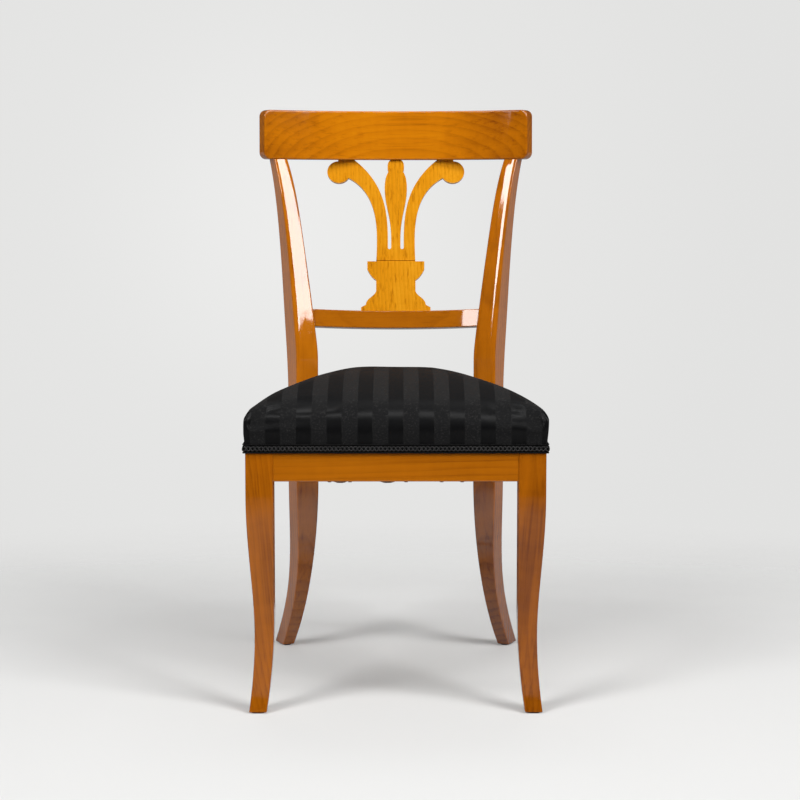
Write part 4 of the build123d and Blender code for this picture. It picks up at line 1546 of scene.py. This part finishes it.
@dataclass
class WoodFrame:
    """The joined wood of the chair: legs, rails, crest and splat, with the plain wood inside."""

    cuts: Mapping[str, tuple[PolishedWood, LogCut]] = field(
        default_factory=lambda: {
            "crest_rail": (CREST_WOOD, LogCut(Grain.ACROSS, (0.0, -0.345, -0.77), (0.0, 1.2, 2.0))),
            "lower_back_rail": (RAIL_WOOD, LogCut(Grain.ACROSS, (0.02, -0.262, -0.56), (0.0, 0.6, 0.0))),
            "back_splat": (SPLAT_WOOD, LogCut(Grain.UPRIGHT, (0.0, -0.26, 0.30), (0.0, 0.8, 0.0))),
            "front_seat_rail": (RAIL_WOOD, LogCut(Grain.ACROSS, (0.05, 0.31, -0.42), (0.0, 1.5, 0.0))),
            "rear_seat_rail": (RAIL_WOOD, LogCut(Grain.ACROSS, (0.05, -0.26, -0.43), (0.0, -1.0, 0.0))),
            "side_seat_rail_left": (
                RAIL_WOOD, LogCut(Grain.LENGTHWISE, (0.0, -0.27, -0.41), (0.0, 1.0, -9.0))
            ),
            "side_seat_rail_right": (
                RAIL_WOOD, LogCut(Grain.LENGTHWISE, (0.0, 0.27, -0.41), (0.0, 1.0, 9.0))
            ),
            "front_leg_left": (LEG_WOOD, LogCut(Grain.UPRIGHT, (0.0, 0.30, -0.25), (0.0, 5.0, 3.0))),
            "front_leg_right": (LEG_WOOD, LogCut(Grain.UPRIGHT, (0.2, 0.29, 0.16), (0.0, -4.0, 3.0))),
            "rear_leg_left": (POST_WOOD, LogCut(Grain.UPRIGHT, (0.0, -0.25, -0.20), (0.0, 1.5, -4.0))),
            "rear_leg_right": (POST_WOOD, LogCut(Grain.UPRIGHT, (0.3, -0.25, 0.21), (0.0, -1.5, -4.0))),
        }
    )

    def dress(self, plan: SeatPlan) -> None:
        """Give each wood node its finish.

        Args:
            plan: The seat, for the place of the posts.
        """
        roll = EdgeRoll(tuple(plan.post_point(0.0, 0.0)), plan.post_turn)
        for node, (finish, cut) in self.cuts.items():
            whole = replace(finish, cut=cut, roll=roll if finish is POST_WOOD else None)
            dress_node(node, whole.make(f"polished_{node}"))
        plain = PlainWood().make("plain_wood")
        blocks = [f"corner_block_{end}_{side}" for end in ("front", "rear") for side in ("left", "right")]
        for node in (*blocks, "splat_dowels"):
            dress_node(node, plain)


@dataclass
class Ironwork:
    """Springs, screws and tacks inside the seat."""

    springs: tuple[str, ...] = ("front_left", "front_right", "middle", "rear_left", "rear_right")

    def dress(self) -> None:
        """Give each metal node its finish."""
        steel = STEEL.make("drawn_steel")
        iron = IRON.make("blued_iron")
        for place in self.springs:
            dress_node(f"seat_spring_{place}", steel)
        dress_node("corner_block_screws", steel)
        dress_node("webbing_tacks", iron)


def dress_node(node: str, material: bpy.types.Material) -> None:
    """Give a CAD node a finish.

    Args:
        node: Name of the node.
        material: The finish.
    """
    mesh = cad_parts[node].data
    mesh.materials.clear()
    mesh.materials.append(material)
    log.info("%s dressed in %s", node, material.name)


@dataclass(frozen=True)
class Softbox:
    """A lamp behind white cloth, placed as seen from the chair."""

    name: str
    azimuth: float
    elevation: float
    distance: float
    width: float
    height: float
    radiance: float
    roll: float = 0.0

    def build(self, target: Vector) -> None:
        """Hang the lamp.

        Args:
            target: The place it faces.
        """
        a, e = radians(self.azimuth), radians(self.elevation)
        away = Vector((sin(a) * cos(e), -cos(a) * cos(e), sin(e)))
        lamp = bpy.data.lights.new(self.name, "AREA")
        lamp.shape = "RECTANGLE"
        lamp.size = self.width
        lamp.size_y = self.height
        lamp.energy = self.radiance * pi * self.width * self.height
        holder = bpy.data.objects.new(self.name, lamp)
        holder.location = target + away * self.distance
        turn = away.to_track_quat("Z", "Y") @ Quaternion((0.0, 0.0, 1.0), radians(self.roll))
        holder.rotation_euler = turn.to_euler()
        bpy.context.collection.objects.link(holder)
        log.info("%s hung", self.name)


@dataclass
class Studio:
    """Pale floor that fades into a pale background, soft lamps and the camera."""

    floor_rings: tuple[float, ...] = (0.4, 0.9, 1.6, 2.6, 4.5, 9.0)
    floor_sides: int = 96
    background: Colour = srgb(229, 229, 228)
    halo_aside: float = 0.05
    halo_gain: float = 0.085
    halo_range: Range = (0.0, 0.14)
    halo_loss: float = 0.03
    loss_range: Range = (0.12, 0.24)
    fill: float = 0.10
    behind_range: Range = (-0.25, 0.35)
    above_range: Range = (-0.06, 0.05)
    target: tuple[float, float, float] = (0.0, 0.0, 0.5)
    camera_height: float = 0.7305
    camera_distance: float = 2.884
    camera_tilt: float = 5.28
    camera_turn: float = -0.12
    lens: float = 90.0
    sensor: float = 36.0
    clip_end: float = 60.0
    boxes: tuple[Softbox, ...] = (
        Softbox("softbox_right", 44.5, 30.2, 5.6, 2.25, 3.25, 9.0),
        Softbox("softbox_left", -39.1, 28.4, 5.6, 1.87, 2.6, 10.2, 17.0),
        Softbox("softbox_above", 0.0, 62.0, 2.6, 2.4, 0.5, 7.5),
        Softbox("softbox_behind", 180.0, 62.0, 3.2, 2.4, 1.2, 2.2),
    )

    def build_floor(self) -> None:
        """Lay the floor as a fine disc that fades out far from the chair."""
        draft = MeshDraft()
        turns = [tau * k / self.floor_sides for k in range(self.floor_sides)]
        rings = []
        for radius in self.floor_rings:
            rings.append(draft.add([Vector((cos(t) * radius, sin(t) * radius, 0.0)) for t in turns]))
        draft.faces.append(tuple(rings[0]))
        for low, high in zip(rings, rings[1:]):
            draft.bridge(high, low, True)
        mesh = bpy.data.meshes.new("studio_floor")
        mesh.from_pydata([tuple(p) for p in draft.points], [], draft.faces)
        mesh.materials.append(FadingFloor().make("studio_floor"))
        floor_piece = bpy.data.objects.new("studio_floor", mesh)
        bpy.context.collection.objects.link(floor_piece)

    def build_world(self) -> None:
        """Make the pale background and the gentle light from all round."""
        world = bpy.data.worlds.new("studio")
        world.use_nodes = True
        bpy.context.scene.world = world
        g = Graph(world.node_tree)
        path = g.node("ShaderNodeLightPath", None, None, "Is Camera Ray")
        outputs = path.socket.node.outputs
        glossy = Signal(g, outputs["Is Glossy Ray"])
        through = Signal(g, outputs["Is Transmission Ray"])
        x, y, z = g.node("ShaderNodeTexCoord", None, None, "Generated").parts()
        behind = y.rise(*self.behind_range)
        above = z.rise(*self.above_range)
        mirrored = behind * (1 - above * 0.85) * 0.5 - 0.7 * self.fill
        x = x + self.halo_aside
        aside = (x * x + z * z) ** 0.5
        gained = self.halo_gain * (1 - aside.rise(*self.halo_range))
        halo = gained - self.halo_loss * aside.rise(*self.loss_range)
        strength = self.fill + (path * (1 + halo) + through) * (1 - self.fill) + glossy * mirrored
        light = g.node("ShaderNodeBackground", None, {"Color": self.background, "Strength": strength})
        g.node("ShaderNodeOutputWorld", None, {"Surface": light})

    def build_camera(self, plan: SeatPlan) -> None:
        """Set the camera where the photograph was taken.

        Args:
            plan: The seat, from whose front edge the distance is measured.
        """
        lens = bpy.data.cameras.new("camera")
        lens.lens = self.lens
        lens.sensor_width = self.sensor
        lens.clip_end = self.clip_end
        camera = bpy.data.objects.new("camera", lens)
        camera.location = (0.0, plan.front - self.camera_distance, self.camera_height)
        camera.rotation_euler = (radians(90 - self.camera_tilt), 0.0, radians(self.camera_turn))
        bpy.context.collection.objects.link(camera)
        bpy.context.scene.camera = camera

    def build(self, plan: SeatPlan) -> None:
        """Set up the whole studio.

        Args:
            plan: The seat, for the camera's place.
        """
        bpy.context.scene.view_settings.view_transform = "Standard"
        self.build_floor()
        self.build_world()
        self.build_camera(plan)
        for box in self.boxes:
            box.build(Vector(self.target))


def main() -> None:
    """Build the studio, then build and dress the chair."""
    logging.basicConfig(level=logging.INFO, format="%(name)s: %(message)s")
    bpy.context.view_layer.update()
    plan = SeatPlan()
    Studio().build(plan)
    WoodFrame().dress(plan)
    Ironwork().dress()
    SeatCushion(plan).build(StripedSatin())
    Braid(plan).build(BRAID_YARN, BRAID_SILK)
    SpringCanvas(plan).build(CANVAS)
    Webbing(plan).build(JUTE)
    FeltPads(plan).build(FELT)


if __name__ == "__main__":
    main()
